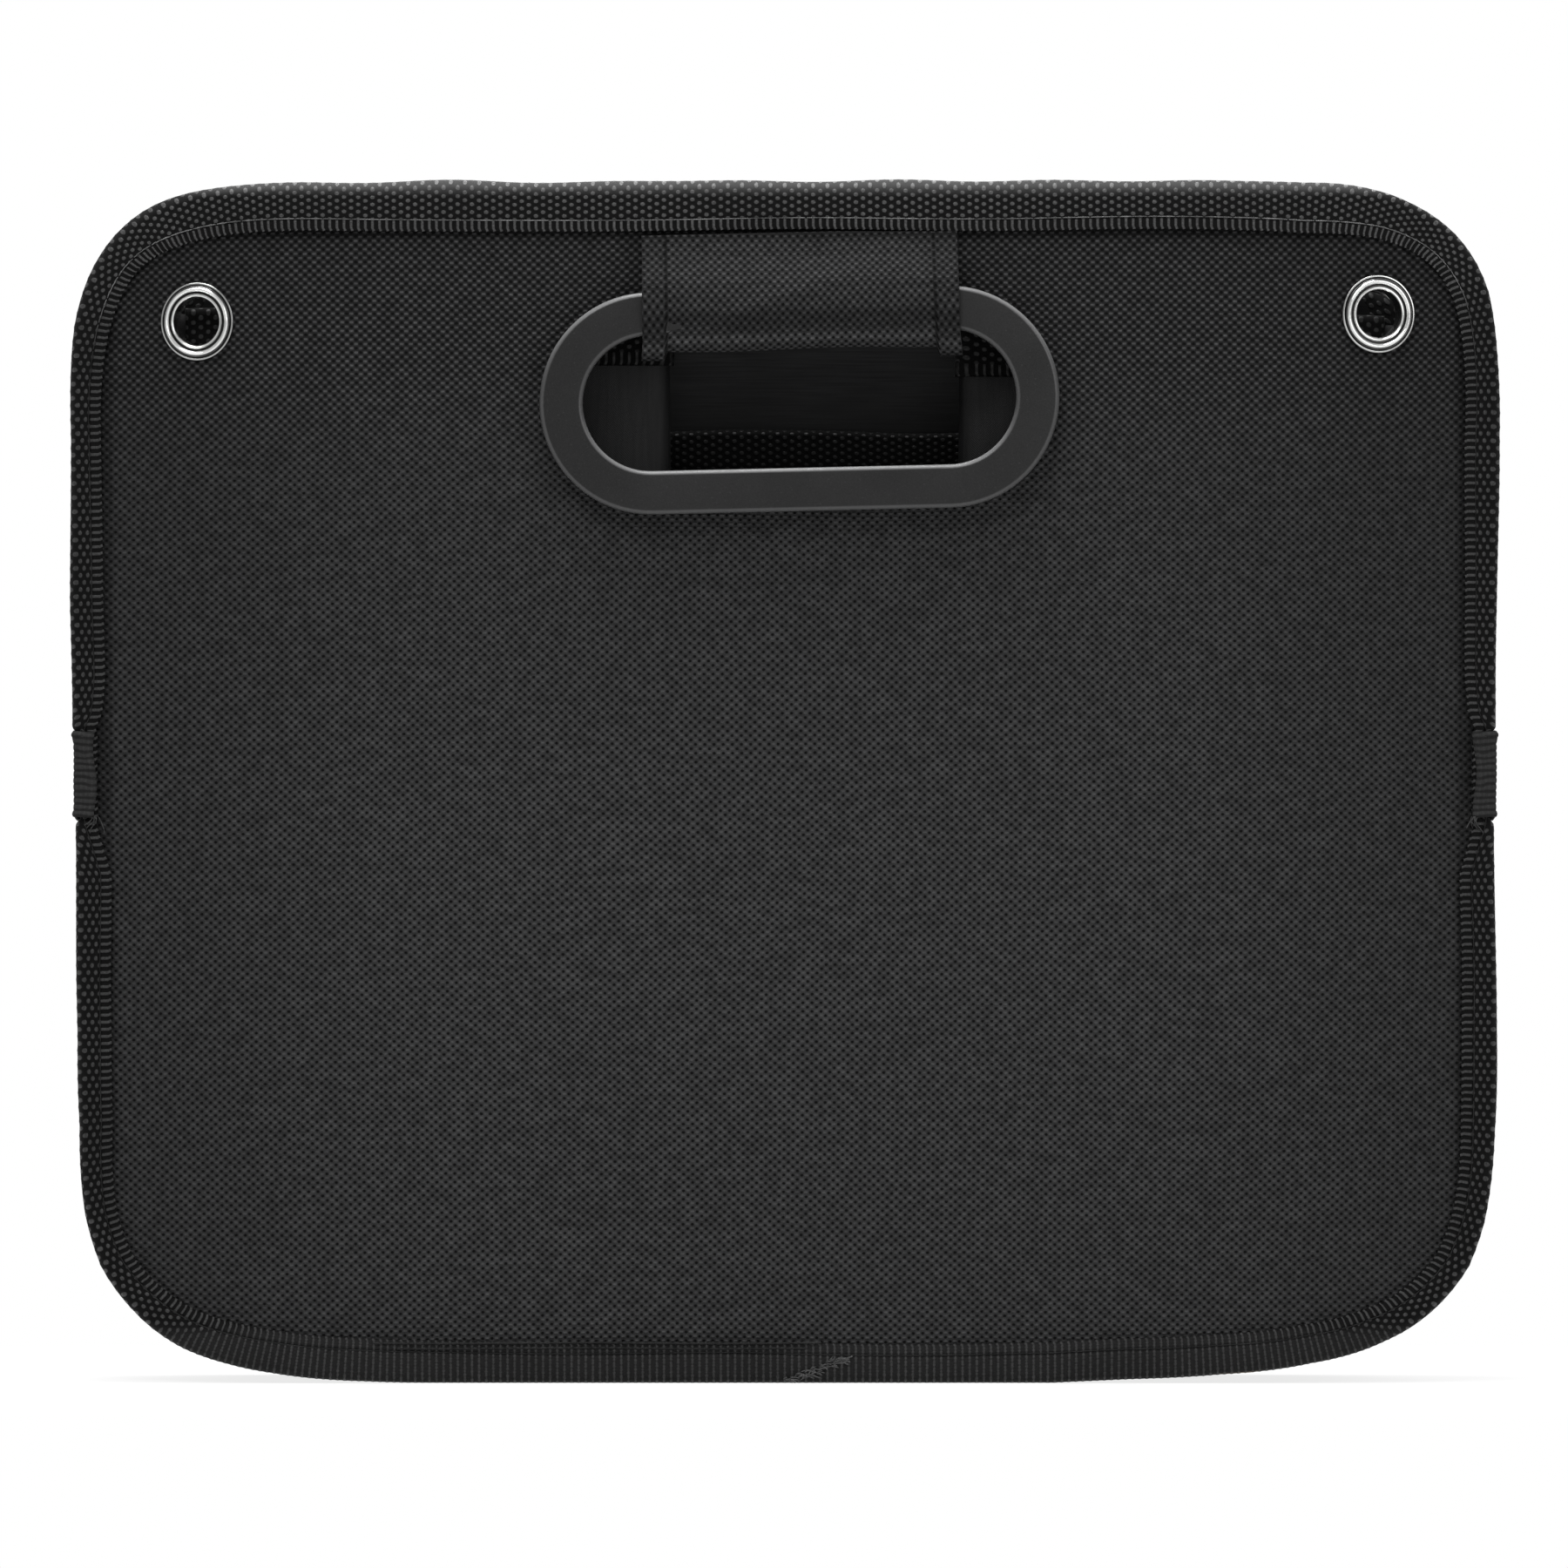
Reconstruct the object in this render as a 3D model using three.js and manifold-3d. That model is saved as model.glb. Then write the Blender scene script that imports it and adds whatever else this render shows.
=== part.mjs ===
// Car trunk organizer with two compartments, folded flat and standing on its bottom edges.
// Millimetres, +Z up, +X along the width, front panel towards -Y.
// The origin is on the floor, under the middle of the folded stack.

import * as THREE from 'three';
import { mergeVertices } from 'three/addons/utils/BufferGeometryUtils.js';
import Module from 'manifold-3d';

const wasm = await Module();
wasm.setup();

// Clearance between pieces that touch
const gap = 0.3;

// End panels: a rounded rectangle, a little narrower at the bottom
const panelWidth = 359;
const panelHeight = 303;
const panelTaper = 1.3;
const topCornerReach = 62;
const bottomCornerReach = 88;
const cornerFullness = 0.8;

// Folded stack: full depth at the middle, with both side edges drawn in towards each other
const stackDepth = 60;
const bowDepth = 10;
const bowReach = 60;

// Binding tape, as wide as it shows on the face of a panel
const tapeThickness = 1.2;
const tapeTopWidth = 12.5;
const tapeSideWidth = 8.5;
const tapeBottomWidth = 10.5;

// Layers of an end panel
const fabricThickness = 0.6;
const boardThickness = 3;
const liningThickness = 0.5;

// Gusset: the side walls and floor, one band pleated inwards in each compartment
const gussetThickness = 1.6;
const leftPleatReach = 150.5;
const rightPleatReach = 135.5;
const floorPleatReach = 145;
const foldRadius = 3.2;
const seamWidth = 15;
const leftWallDrop = 33.3;
const rightWallDrop = 36.1;
const wallTapeHeight = 13;

// Divider between the two compartments
const dividerDrop = 62.5;
const dividerInset = 4;
const dividerFoot = 6;
const dividerCorner = 14;
const dividerBoardThickness = 2;
const dividerCoverThickness = 0.5;

// Loose base boards, kept behind the divider while the organizer is folded
const baseBoardThickness = 2;
const baseBoardMargin = 28.5;
const baseBoardDrop = 14;
const baseBoardCorner = 30;

// Carrying handle: a flat stadium ring in a sewn tab, over a hand hole in the panel
const handleX = 3.7;
const handleDrop = 55.4;
const handleTilt = 1.3;
const ringWidth = 131;
const ringHeight = 56;
const ringBar = 11;
const ringThickness = 5;
const ringBevel = 1;
const handHoleMargin = 5;
const tabX = 4.6;
const tabWidth = 80;
const tabPly = 1.2;
const tabSeamThickness = 2.5;
const tabFoldDrop = 5.5;

// Eyelets, pressed through the end panels with a washer behind
const leftEyeletInset = 31.4;
const leftEyeletDrop = 35.4;
const rightEyeletInset = 29.9;
const rightEyeletDrop = 33.5;
const eyeletBore = 12;
const eyeletFlange = 19;
const eyeletWall = 0.8;
const eyeletRise = 1.9;
const eyeletSeat = 0.55;
const washerThickness = 0.8;
const eyeletLip = 0.6;

// Side straps, sewn to the front panel's edge and closed on the rear panel
const strapWidth = 22.5;
const strapBelowMiddle = 9.5;
const strapThickness = 0.9;
const strapFrontReach = 5.2;
const strapRearReach = 52;
const patchThickness = 0.9;
const patchStart = 11;
const patchLength = 38;

// Places worked out from the sizes above. Depths are distances from the middle plane of the stack
const panelHalf = panelWidth / 2;
const leftWallTop = panelHeight - leftWallDrop;
const rightWallTop = panelHeight - rightWallDrop;
const dividerTop = panelHeight - dividerDrop;
const handleZ = panelHeight - handleDrop;
const strapBottom = panelHeight / 2 - strapBelowMiddle;
const faceDepth = stackDepth / 2;
const fabricOuter = faceDepth - tapeThickness - gap;
const fabricInner = fabricOuter - fabricThickness;
const boardOuter = fabricInner - gap;
const boardInner = boardOuter - boardThickness;
const liningOuter = boardInner - gap;
const liningInner = liningOuter - liningThickness;
const flangeOuter = liningInner - gap;
const flangeInner = flangeOuter - gussetThickness;
const panelBack = flangeInner - gap - tapeThickness;
const contentsInset = tapeThickness + gap;

const dividerBoardHalf = dividerBoardThickness / 2;
const dividerCoverInner = dividerBoardHalf + gap;
const dividerCoverOuter = dividerCoverInner + dividerCoverThickness;
const dividerFace = dividerCoverOuter + gap + tapeThickness;
const dividerSeamInner = dividerFace + gap;
const dividerSeamOuter = dividerSeamInner + gussetThickness;

// The pleats leave room behind the divider for the two base boards
const wallTapeHalf = gussetThickness / 2 + gap + tapeThickness;
const boardsBack = dividerFace + 2 * (gap + baseBoardThickness);
const innerPly = boardsBack + gap + wallTapeHalf;
const outerPly = innerPly + 2 * foldRadius;
const outerPlyKnee = (outerPly + panelBack) / 2;
const kneeWidth = 11;

const frontSide = -1;
const rearSide = 1;
const leftSide = -1;
const rightSide = 1;
const curveSteps = 7;
const foldSteps = 6;
const roundSteps = 24;
const bowSteps = 6;
const margin = 5;

// Materials
const finish = (color, roughness, metalness = 0) =>
  new THREE.MeshStandardMaterial({ color, roughness, metalness });
const fabricBlack = finish(0x2c2c2d, 0.9);
const tapeBlack = finish(0x262627, 0.85);
const liningBlack = finish(0x1b1b1c, 0.6);
const gussetBlack = finish(0x222223, 0.55);
const boardGrey = finish(0x77695a, 0.95);
const baseBoardBlack = finish(0x161617, 0.5);
const handleBlack = finish(0x303031, 0.5);
const chrome = finish(0xc9cbcd, 0.15, 1);
const patchBlack = finish(0x1e1e1f, 0.95);

// Solids from geometry and back

function solidOf(geometry) {
  geometry.deleteAttribute('normal');
  geometry.deleteAttribute('uv');
  const merged = mergeVertices(geometry);
  const mesh = new wasm.Mesh({
    numProp: 3,
    vertProperties: new Float32Array(merged.attributes.position.array),
    triVerts: new Uint32Array(merged.index.array),
  });
  return new wasm.Manifold(mesh);
}

function geometryOf(solid) {
  const mesh = solid.getMesh();
  const geometry = new THREE.BufferGeometry();
  geometry.setAttribute('position', new THREE.BufferAttribute(mesh.vertProperties, 3));
  geometry.setIndex(new THREE.BufferAttribute(mesh.triVerts, 1));
  geometry.computeVertexNormals();
  return geometry;
}

function extruded(shape, depth, steps = 1) {
  return new THREE.ExtrudeGeometry(shape, { depth, steps, bevelEnabled: false, curveSegments: curveSteps });
}

// Turns a shape drawn in y and z, and extruded, to lie along x
const alongX = new THREE.Matrix4().makeBasis(
  new THREE.Vector3(0, 1, 0), new THREE.Vector3(0, 0, 1), new THREE.Vector3(1, 0, 0));

// A shape drawn in x and z, given a thickness along y
function standing(shape, yFrom = -stackDepth, yTo = stackDepth) {
  const geometry = extruded(shape, yTo - yFrom);
  geometry.rotateX(Math.PI / 2);
  geometry.translate(0, yTo, 0);
  return solidOf(geometry);
}

// A shape drawn in x and y, given a height along z
function upright(shape, zFrom, zTo) {
  const geometry = extruded(shape, zTo - zFrom);
  geometry.translate(0, 0, zFrom);
  return solidOf(geometry);
}

// The bow of the stack: past the flat middle, every layer is drawn towards the middle plane

function bow(x) {
  const past = Math.max(0, Math.abs(x) - (panelHalf - bowReach)) / bowReach;
  return bowDepth * past * past;
}

function bowSlope(x) {
  const past = Math.max(0, Math.abs(x) - (panelHalf - bowReach)) / bowReach;
  return Math.sign(x) * 2 * bowDepth * past / bowReach;
}

function bent(x, y) {
  return y - Math.sign(y) * bow(x) * Math.min(Math.abs(y) / panelBack, 1);
}

function bowStations() {
  const stations = [];
  for (let i = bowSteps + 1; i >= 0; i -= 1) {
    stations.push(-(panelHalf - bowReach) - (i * bowReach) / bowSteps);
  }
  return [...stations, ...stations.map((x) => -x).reverse()];
}

// A bowed layer between two planes, cut to a shape drawn in x and z
function layer(yA, yB, shape) {
  const stations = bowStations();
  const there = stations.map((x) => new THREE.Vector2(x, bent(x, yA)));
  const back = stations.map((x) => new THREE.Vector2(x, bent(x, yB))).reverse();
  const slab = upright(new THREE.Shape([...there, ...back]), -margin, panelHeight + margin);
  return slab.intersect(standing(shape));
}

// Outlines in x and z

const even = (inset) => ({ top: inset, side: inset, bottom: inset });

const grown = (inset, more) => ({
  top: inset.top + more,
  side: inset.side + more,
  bottom: inset.bottom + more,
});

// Keeps a band between two outlines as wide on the diagonal of a corner as on its sides
const cornerShrink = (8 * (1 - Math.SQRT1_2)) / (4 - 3 * cornerFullness);

function outline(inset, topZ = panelHeight, topReach = topCornerReach) {
  const topHalf = panelHalf - inset.side;
  const footHalf = topHalf - panelTaper;
  const high = topZ - inset.top;
  const low = inset.bottom;
  const upper = Math.max(topReach - (cornerShrink * (inset.top + inset.side)) / 2, 1);
  const lower = bottomCornerReach - (cornerShrink * (inset.bottom + inset.side)) / 2;
  const upperPull = upper * (1 - cornerFullness);
  const lowerPull = lower * (1 - cornerFullness);
  const shape = new THREE.Shape();
  shape.moveTo(lower - footHalf, low);
  shape.lineTo(footHalf - lower, low);
  shape.bezierCurveTo(footHalf - lowerPull, low, footHalf, low + lowerPull, footHalf, low + lower);
  shape.lineTo(topHalf, high - upper);
  shape.bezierCurveTo(topHalf, high - upperPull, topHalf - upperPull, high, topHalf - upper, high);
  shape.lineTo(upper - topHalf, high);
  shape.bezierCurveTo(upperPull - topHalf, high, -topHalf, high - upperPull, -topHalf, high - upper);
  shape.lineTo(-footHalf, low + lower);
  shape.bezierCurveTo(-footHalf, low + lowerPull, lowerPull - footHalf, low, lower - footHalf, low);
  return shape;
}

function rectangle(xA, xB, zA, zB, radius = 0) {
  const shape = new THREE.Shape();
  if (radius === 0) {
    shape.moveTo(xA, zA).lineTo(xB, zA).lineTo(xB, zB).lineTo(xA, zB).closePath();
    return shape;
  }
  shape.moveTo(xA + radius, zA);
  shape.lineTo(xB - radius, zA);
  shape.absarc(xB - radius, zA + radius, radius, -Math.PI / 2, 0, false);
  shape.lineTo(xB, zB - radius);
  shape.absarc(xB - radius, zB - radius, radius, 0, Math.PI / 2, false);
  shape.lineTo(xA + radius, zB);
  shape.absarc(xA + radius, zB - radius, radius, Math.PI / 2, Math.PI, false);
  shape.lineTo(xA, zA + radius);
  shape.absarc(xA + radius, zA + radius, radius, Math.PI, 1.5 * Math.PI, false);
  return shape;
}

function stadium(width, height, Path = THREE.Shape) {
  const radius = height / 2;
  const straight = width / 2 - radius;
  const path = new Path();
  path.moveTo(-straight, -radius);
  path.lineTo(straight, -radius);
  path.absarc(straight, 0, radius, -Math.PI / 2, Math.PI / 2, false);
  path.lineTo(-straight, radius);
  path.absarc(-straight, 0, radius, Math.PI / 2, 1.5 * Math.PI, false);
  return path;
}

// The band along both sides of a route
function thickened(route, thickness) {
  const left = [];
  const right = [];
  route.forEach((point, i) => {
    const before = route[Math.max(i - 1, 0)];
    const after = route[Math.min(i + 1, route.length - 1)];
    const inward = point.clone().sub(before).normalize();
    const outward = after.clone().sub(point).normalize();
    const along = inward.add(outward).normalize();
    const reference = (i === 0 ? after.clone().sub(point) : point.clone().sub(before)).normalize();
    const half = thickness / 2 / Math.max(along.dot(reference), 0.5);
    const across = new THREE.Vector2(-along.y, along.x).multiplyScalar(half);
    left.push(point.clone().add(across));
    right.push(point.clone().sub(across));
  });
  return new THREE.Shape([...left, ...right.reverse()]);
}

// End panels

const tapeInset = { top: tapeTopWidth, side: tapeSideWidth, bottom: tapeBottomWidth };

// A tape folded over the edge all round, open on its inner edge
function foldedTape(yOuter, yInner, inset, innerInset, topZ, topReach) {
  const whole = layer(yOuter, yInner, outline(inset, topZ, topReach));
  const outward = Math.sign(yOuter - yInner) * tapeThickness;
  const pocketShape = outline(grown(inset, tapeThickness), topZ, topReach);
  const pocket = layer(yOuter - outward, yInner + outward, pocketShape);
  const window = standing(outline(innerInset, topZ, topReach));
  return whole.subtract(pocket).subtract(window);
}

function placed(solid, x, z, tilt = 0) {
  return solid.rotate([0, -tilt, 0]).translate([x, 0, z]);
}

function handHole() {
  const width = ringWidth - 2 * ringBar + 2 * handHoleMargin;
  const height = ringHeight - 2 * ringBar + 2 * handHoleMargin;
  return placed(standing(stadium(width, height)), handleX, handleZ, handleTilt);
}

const eyeletPlaces = [
  { name: 'left', x: leftEyeletInset - panelHalf, z: panelHeight - leftEyeletDrop },
  { name: 'right', x: panelHalf - rightEyeletInset, z: panelHeight - rightEyeletDrop },
];

// Where an eyelet sits on the bowed panel, and how far it is turned to lie flat there
function eyeletSeatAt(place, side) {
  const y = side * (fabricOuter - bow(place.x));
  const turn = Math.atan2(-bowSlope(place.x), side);
  return { x: place.x, y, z: place.z, turn };
}

function eyeletHole(place, side) {
  const seat = eyeletSeatAt(place, side);
  const geometry = new THREE.CylinderGeometry(1, 1, 4 * boardThickness, roundSteps);
  geometry.scale(eyeletBore / 2 + eyeletWall + gap, 1, eyeletBore / 2 + eyeletWall + gap);
  geometry.rotateZ(seat.turn);
  geometry.translate(seat.x, seat.y, seat.z);
  return solidOf(geometry);
}

function panelLayer(side, outer, inner) {
  let sheet = layer(side * outer, side * inner, outline(even(contentsInset)));
  sheet = sheet.subtract(handHole());
  for (const place of eyeletPlaces) {
    sheet = sheet.subtract(eyeletHole(place, side));
  }
  return sheet;
}

// Eyelets, drawn as a radius and a height above the panel's fabric

function turned(points) {
  const profile = points.map(([radius, height]) => new THREE.Vector2(radius, height));
  return new THREE.LatheGeometry(profile, roundSteps);
}

function eyelet() {
  const bore = eyeletBore / 2;
  const barrel = bore + eyeletWall;
  const rim = eyeletFlange / 2;
  const groove = (barrel + rim) / 2;
  const back = -(fabricOuter - liningInner) - eyeletSeat - washerThickness - gap;
  const points = [
    [bore, back - eyeletLip], [barrel + 1.2, back - eyeletLip], [barrel + 1.2, back], [barrel, back],
    [barrel, eyeletSeat], [rim, eyeletSeat], [rim - 0.4, eyeletRise * 0.75], [groove + 0.5, eyeletRise],
    [groove - 0.3, eyeletRise * 0.6], [bore + 0.4, eyeletRise * 0.9], [bore, eyeletRise * 0.7],
    [bore, back - eyeletLip],
  ];
  return turned(points);
}

function washer() {
  const inner = eyeletBore / 2 + eyeletWall + gap;
  const outer = eyeletFlange / 2 - 0.2;
  const front = -(fabricOuter - liningInner) - eyeletSeat;
  const back = front - washerThickness;
  const points = [[inner, back], [outer, back], [outer, front], [inner, front], [inner, back]];
  return turned(points);
}

// Gusset pleats

// One pleat seen from its end: [distance from the edge, distance from the middle plane]
function pleatRoute(reach, outerStart, innerEnd) {
  const seamMiddle = (flangeOuter + flangeInner) / 2;
  const dividerMiddle = (dividerSeamOuter + dividerSeamInner) / 2;
  const bend = reach - foldRadius - gussetThickness / 2;
  const outerKnee = seamWidth + kneeWidth;
  const innerKnee = seamWidth + dividerInset + tapeThickness + kneeWidth;
  const innerSeam = innerKnee - kneeWidth + 1;
  const outerAt = (t) => outerPlyKnee + ((outerPly - outerPlyKnee) * (t - outerKnee)) / (bend - outerKnee);
  const route = [];
  if (outerStart < seamWidth) {
    route.push([outerStart, seamMiddle], [seamWidth, seamMiddle], [outerKnee, outerPlyKnee]);
  } else {
    route.push([outerStart, outerAt(outerStart)]);
  }
  const middle = (outerPly + innerPly) / 2;
  for (let i = 0; i <= foldSteps; i += 1) {
    const turn = Math.PI / 2 - (Math.PI * i) / foldSteps;
    route.push([bend + foldRadius * Math.cos(turn), middle + foldRadius * Math.sin(turn)]);
  }
  route.push([Math.max(innerKnee, innerEnd), innerPly]);
  if (innerEnd < innerKnee) {
    route.push([innerSeam, dividerMiddle], [innerEnd, dividerMiddle]);
  }
  return route.map(([t, d]) => new THREE.Vector2(t, d));
}

// An edge with a point at least at every step, so that it can follow the bow
function finely(points, step) {
  const fine = [];
  points.forEach((from, i) => {
    const to = points[(i + 1) % points.length];
    const parts = Math.ceil(from.distanceTo(to) / step);
    for (let j = 0; j < parts; j += 1) {
      fine.push(from.clone().lerp(to, j / parts));
    }
  });
  return fine;
}

const bowStep = bowReach / bowSteps;

// A pleat of a side wall, drawn from above
function wallPleat(side, sideways, reach, thickness, outerStart, innerEnd) {
  const section = thickened(pleatRoute(reach, outerStart, innerEnd), thickness);
  const edge = finely(section.getPoints(), bowStep);
  return new THREE.Shape(edge.map(({ x: t, y: d }) => {
    const x = sideways * (panelHalf - t);
    return new THREE.Vector2(x, bent(x, side * d));
  }));
}

// The floor's pleat, drawn from the side and carried across the width from one bow station to the next
function floorPleat(side, outerStart) {
  const route = pleatRoute(floorPleatReach, outerStart, outerStart);
  const section = thickened(route.map(({ x: t, y: d }) => new THREE.Vector2(side * d, t)), gussetThickness);
  const stations = bowStations();
  const geometry = extruded(section, stations.length - 1, stations.length - 1);
  geometry.applyMatrix4(alongX);
  const position = geometry.attributes.position;
  for (let i = 0; i < position.count; i += 1) {
    const x = stations[Math.round(position.getX(i))];
    position.setXYZ(i, x, bent(x, position.getY(i)), position.getZ(i));
  }
  return solidOf(geometry);
}

// The part of a sheet that belongs to one wall or to the floor, parted by the folds at the corners

const pastCorner = 0.05;
const regionOverlap = 0.1;

function wallRegion(sideways, reach) {
  const cornerX = sideways * panelHalf;
  const foldX = sideways * (panelHalf - reach);
  const outX = cornerX + sideways * margin * 2;
  return new THREE.Shape([
    new THREE.Vector2(cornerX - (foldX - cornerX) * pastCorner, -floorPleatReach * pastCorner),
    new THREE.Vector2(foldX, floorPleatReach),
    new THREE.Vector2(foldX - sideways * margin, floorPleatReach),
    new THREE.Vector2(foldX - sideways * margin, panelHeight),
    new THREE.Vector2(outX, panelHeight),
    new THREE.Vector2(outX, -floorPleatReach * pastCorner),
  ]);
}

function floorRegion() {
  const corner = (sideways, reach, z) => new THREE.Vector2(sideways * (panelHalf - reach), z + regionOverlap);
  return new THREE.Shape([
    corner(leftSide, -leftPleatReach * pastCorner, -floorPleatReach * pastCorner),
    corner(rightSide, -rightPleatReach * pastCorner, -floorPleatReach * pastCorner),
    corner(rightSide, rightPleatReach, floorPleatReach),
    corner(rightSide, rightPleatReach, floorPleatReach + margin),
    corner(leftSide, leftPleatReach, floorPleatReach + margin),
    corner(leftSide, leftPleatReach, floorPleatReach),
  ]);
}

// The flat edge of the band that is caught in a seam all round
function seamFlange(yOuter, yInner, inset, width) {
  const shape = outline(inset);
  const inner = outline(grown(inset, width));
  return layer(yOuter, yInner, shape).subtract(standing(inner));
}

function gusset(side) {
  const clearOfTape = grown(tapeInset, 2 * gap);
  const inside = standing(outline(clearOfTape));
  const start = tapeSideWidth;
  const wall = (sideways, reach) =>
    upright(wallPleat(side, sideways, reach, gussetThickness, start, start), -margin, panelHeight)
      .intersect(standing(wallRegion(sideways, reach)));
  const walls = wall(leftSide, leftPleatReach).add(wall(rightSide, rightPleatReach));
  const floor = floorPleat(side, start).intersect(standing(floorRegion()));
  const pleats = walls.add(floor).intersect(inside);
  const panelSeam = seamFlange(
    side * flangeOuter, side * flangeInner, even(contentsInset), seamWidth);
  const dividerEdge = { top: 0, side: dividerInset + tapeThickness, bottom: dividerFoot + tapeThickness };
  const dividerSeam = seamFlange(
    side * dividerSeamOuter, side * dividerSeamInner, dividerEdge, seamWidth);
  const belowTops = new THREE.Shape([
    new THREE.Vector2(-panelWidth, -margin), new THREE.Vector2(panelWidth, -margin),
    new THREE.Vector2(panelWidth, rightWallTop), new THREE.Vector2(0, rightWallTop),
    new THREE.Vector2(0, leftWallTop), new THREE.Vector2(-panelWidth, leftWallTop),
  ]);
  return pleats.add(panelSeam).add(dividerSeam).intersect(standing(belowTops));
}

// The tape over the top edge of a folded side wall
function wallTape(side, sideways, reach, wallTop) {
  const outerStart = seamWidth + kneeWidth + 2;
  const innerEnd = outerStart + dividerInset + tapeThickness + 2;
  const full = wallPleat(side, sideways, reach, 2 * wallTapeHalf, outerStart, innerEnd);
  const inner = wallPleat(side, sideways, reach, gussetThickness + 2 * gap, outerStart - 2, innerEnd - 2);
  const outside = upright(full, wallTop - wallTapeHeight, wallTop + gap + tapeThickness);
  return outside.subtract(upright(inner, wallTop - 2 * wallTapeHeight, wallTop + gap));
}

// Divider and base boards

const dividerEdgeInset = { top: 0, side: dividerInset, bottom: dividerFoot };

function dividerLayer(yA, yB) {
  const shape = outline(grown(dividerEdgeInset, contentsInset), dividerTop, dividerCorner);
  return layer(yA, yB, shape);
}

function dividerTape() {
  const innerInset = {
    top: tapeTopWidth,
    side: dividerInset + tapeSideWidth,
    bottom: dividerFoot + tapeBottomWidth,
  };
  return foldedTape(dividerFace, -dividerFace, dividerEdgeInset, innerInset, dividerTop, dividerCorner);
}

function baseBoard(order) {
  const front = dividerFace + gap + order * (baseBoardThickness + gap);
  const bottom = seamWidth + kneeWidth + dividerInset;
  const half = panelHalf - baseBoardMargin;
  const shape = rectangle(-half, half, bottom, panelHeight - baseBoardDrop, baseBoardCorner);
  return layer(front, front + baseBoardThickness, shape);
}

// Handles

const ringBack = fabricOuter + gap + tabPly + gap;
const ringFront = ringBack + ringThickness;
const tabBack = fabricOuter + gap;
const tabTop = panelHeight - tapeTopWidth - gap;

function ring(side) {
  const shape = stadium(ringWidth, ringHeight);
  shape.holes.push(stadium(ringWidth - 2 * ringBar, ringHeight - 2 * ringBar, THREE.Path));
  const geometry = new THREE.ExtrudeGeometry(shape, {
    depth: ringThickness - 2 * ringBevel,
    bevelEnabled: true,
    bevelThickness: ringBevel,
    bevelSize: ringBevel,
    bevelOffset: -ringBevel,
    bevelSegments: 2,
    curveSegments: curveSteps,
  });
  geometry.rotateX(Math.PI / 2);
  geometry.translate(0, ringThickness / 2 - ringBevel, 0);
  geometry.translate(0, (side * (ringBack + ringFront)) / 2, 0);
  return placed(solidOf(geometry), handleX, handleZ, handleTilt);
}

// Room for the ring inside its tab
function ringRoom(side) {
  const shape = stadium(ringWidth + 2 * gap, ringHeight + 2 * gap);
  const opening = [ringWidth - 2 * ringBar - 2 * gap, ringHeight - 2 * ringBar - 2 * gap];
  shape.holes.push(stadium(...opening, THREE.Path));
  const faces = [side * (ringBack - gap), side * (ringFront + gap)].sort((a, b) => a - b);
  return placed(standing(shape, ...faces), handleX, handleZ, handleTilt);
}

// A strip of fabric doubled over the ring's upper bar, its two ends sewn in under the binding tape
function tab(side) {
  const barTop = ringHeight / 2;
  const barBottom = barTop - ringBar;
  const foldBottom = barBottom - tabFoldDrop;
  const front = ringFront + gap + tabPly;
  const seam = tabTop - handleZ;
  const foldMiddle = (tabBack + ringFront) / 2;
  const profile = new THREE.Shape();
  profile.moveTo(side * tabBack, seam + margin);
  profile.lineTo(side * (tabBack + tabSeamThickness), seam + margin);
  profile.lineTo(side * (tabBack + tabSeamThickness), seam - 1);
  profile.bezierCurveTo(
    side * (tabBack + tabSeamThickness), (seam + barTop) / 2,
    side * front, barTop + 3,
    side * front, barTop - 1);
  profile.lineTo(side * front, barBottom + 1);
  profile.bezierCurveTo(
    side * front, foldBottom + 1, side * (foldMiddle + 1.5), foldBottom, side * foldMiddle, foldBottom);
  profile.bezierCurveTo(
    side * (foldMiddle - 2), foldBottom, side * tabBack, foldBottom + 2, side * tabBack, barBottom);
  const geometry = extruded(profile, tabWidth);
  geometry.applyMatrix4(alongX);
  geometry.translate(-tabWidth / 2, 0, 0);
  const loop = placed(solidOf(geometry), tabX, handleZ, handleTilt);
  const belowTape = standing(rectangle(-panelWidth, panelWidth, 0, tabTop));
  return loop.intersect(belowTape).subtract(ringRoom(side));
}

// Side straps

// A route over the outer skin of the stack, lifted off it by half the strap and a clearance
function strapRoute(sideways) {
  const lift = gap + strapThickness / 2;
  const patchLift = fabricOuter + 3 * gap + 2 * patchThickness + strapThickness / 2 - faceDepth;
  const edge = faceDepth - bow(panelHalf);
  const lean = Math.atan(Math.abs(bowSlope(panelHalf)));
  const onFace = (inFromEdge, side, height) => {
    const x = panelHalf - inFromEdge;
    return new THREE.Vector2(sideways * x, side * (faceDepth - bow(x) + height));
  };
  const corner = (side) => {
    const points = [];
    for (let i = 0; i <= 4; i += 1) {
      const turn = Math.PI / 2 - lean - ((Math.PI / 2 - lean) * i) / 4;
      const x = panelHalf + lift * Math.cos(turn);
      points.push(new THREE.Vector2(sideways * x, side * (edge + lift * Math.sin(turn))));
    }
    return points;
  };
  const route = [onFace(strapFrontReach, frontSide, lift * 1.05), ...corner(frontSide)];
  route.push(...corner(rearSide).reverse());
  route.push(onFace(patchStart - 4, rearSide, lift * 1.1), onFace(patchStart + 3, rearSide, patchLift));
  for (let reach = patchStart + 3 + bowStep; reach <= strapRearReach; reach += bowStep) {
    route.push(onFace(reach, rearSide, patchLift));
  }
  return route;
}

function strap(sideways) {
  const shape = thickened(strapRoute(sideways), strapThickness);
  return upright(shape, strapBottom, strapBottom + strapWidth);
}

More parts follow.
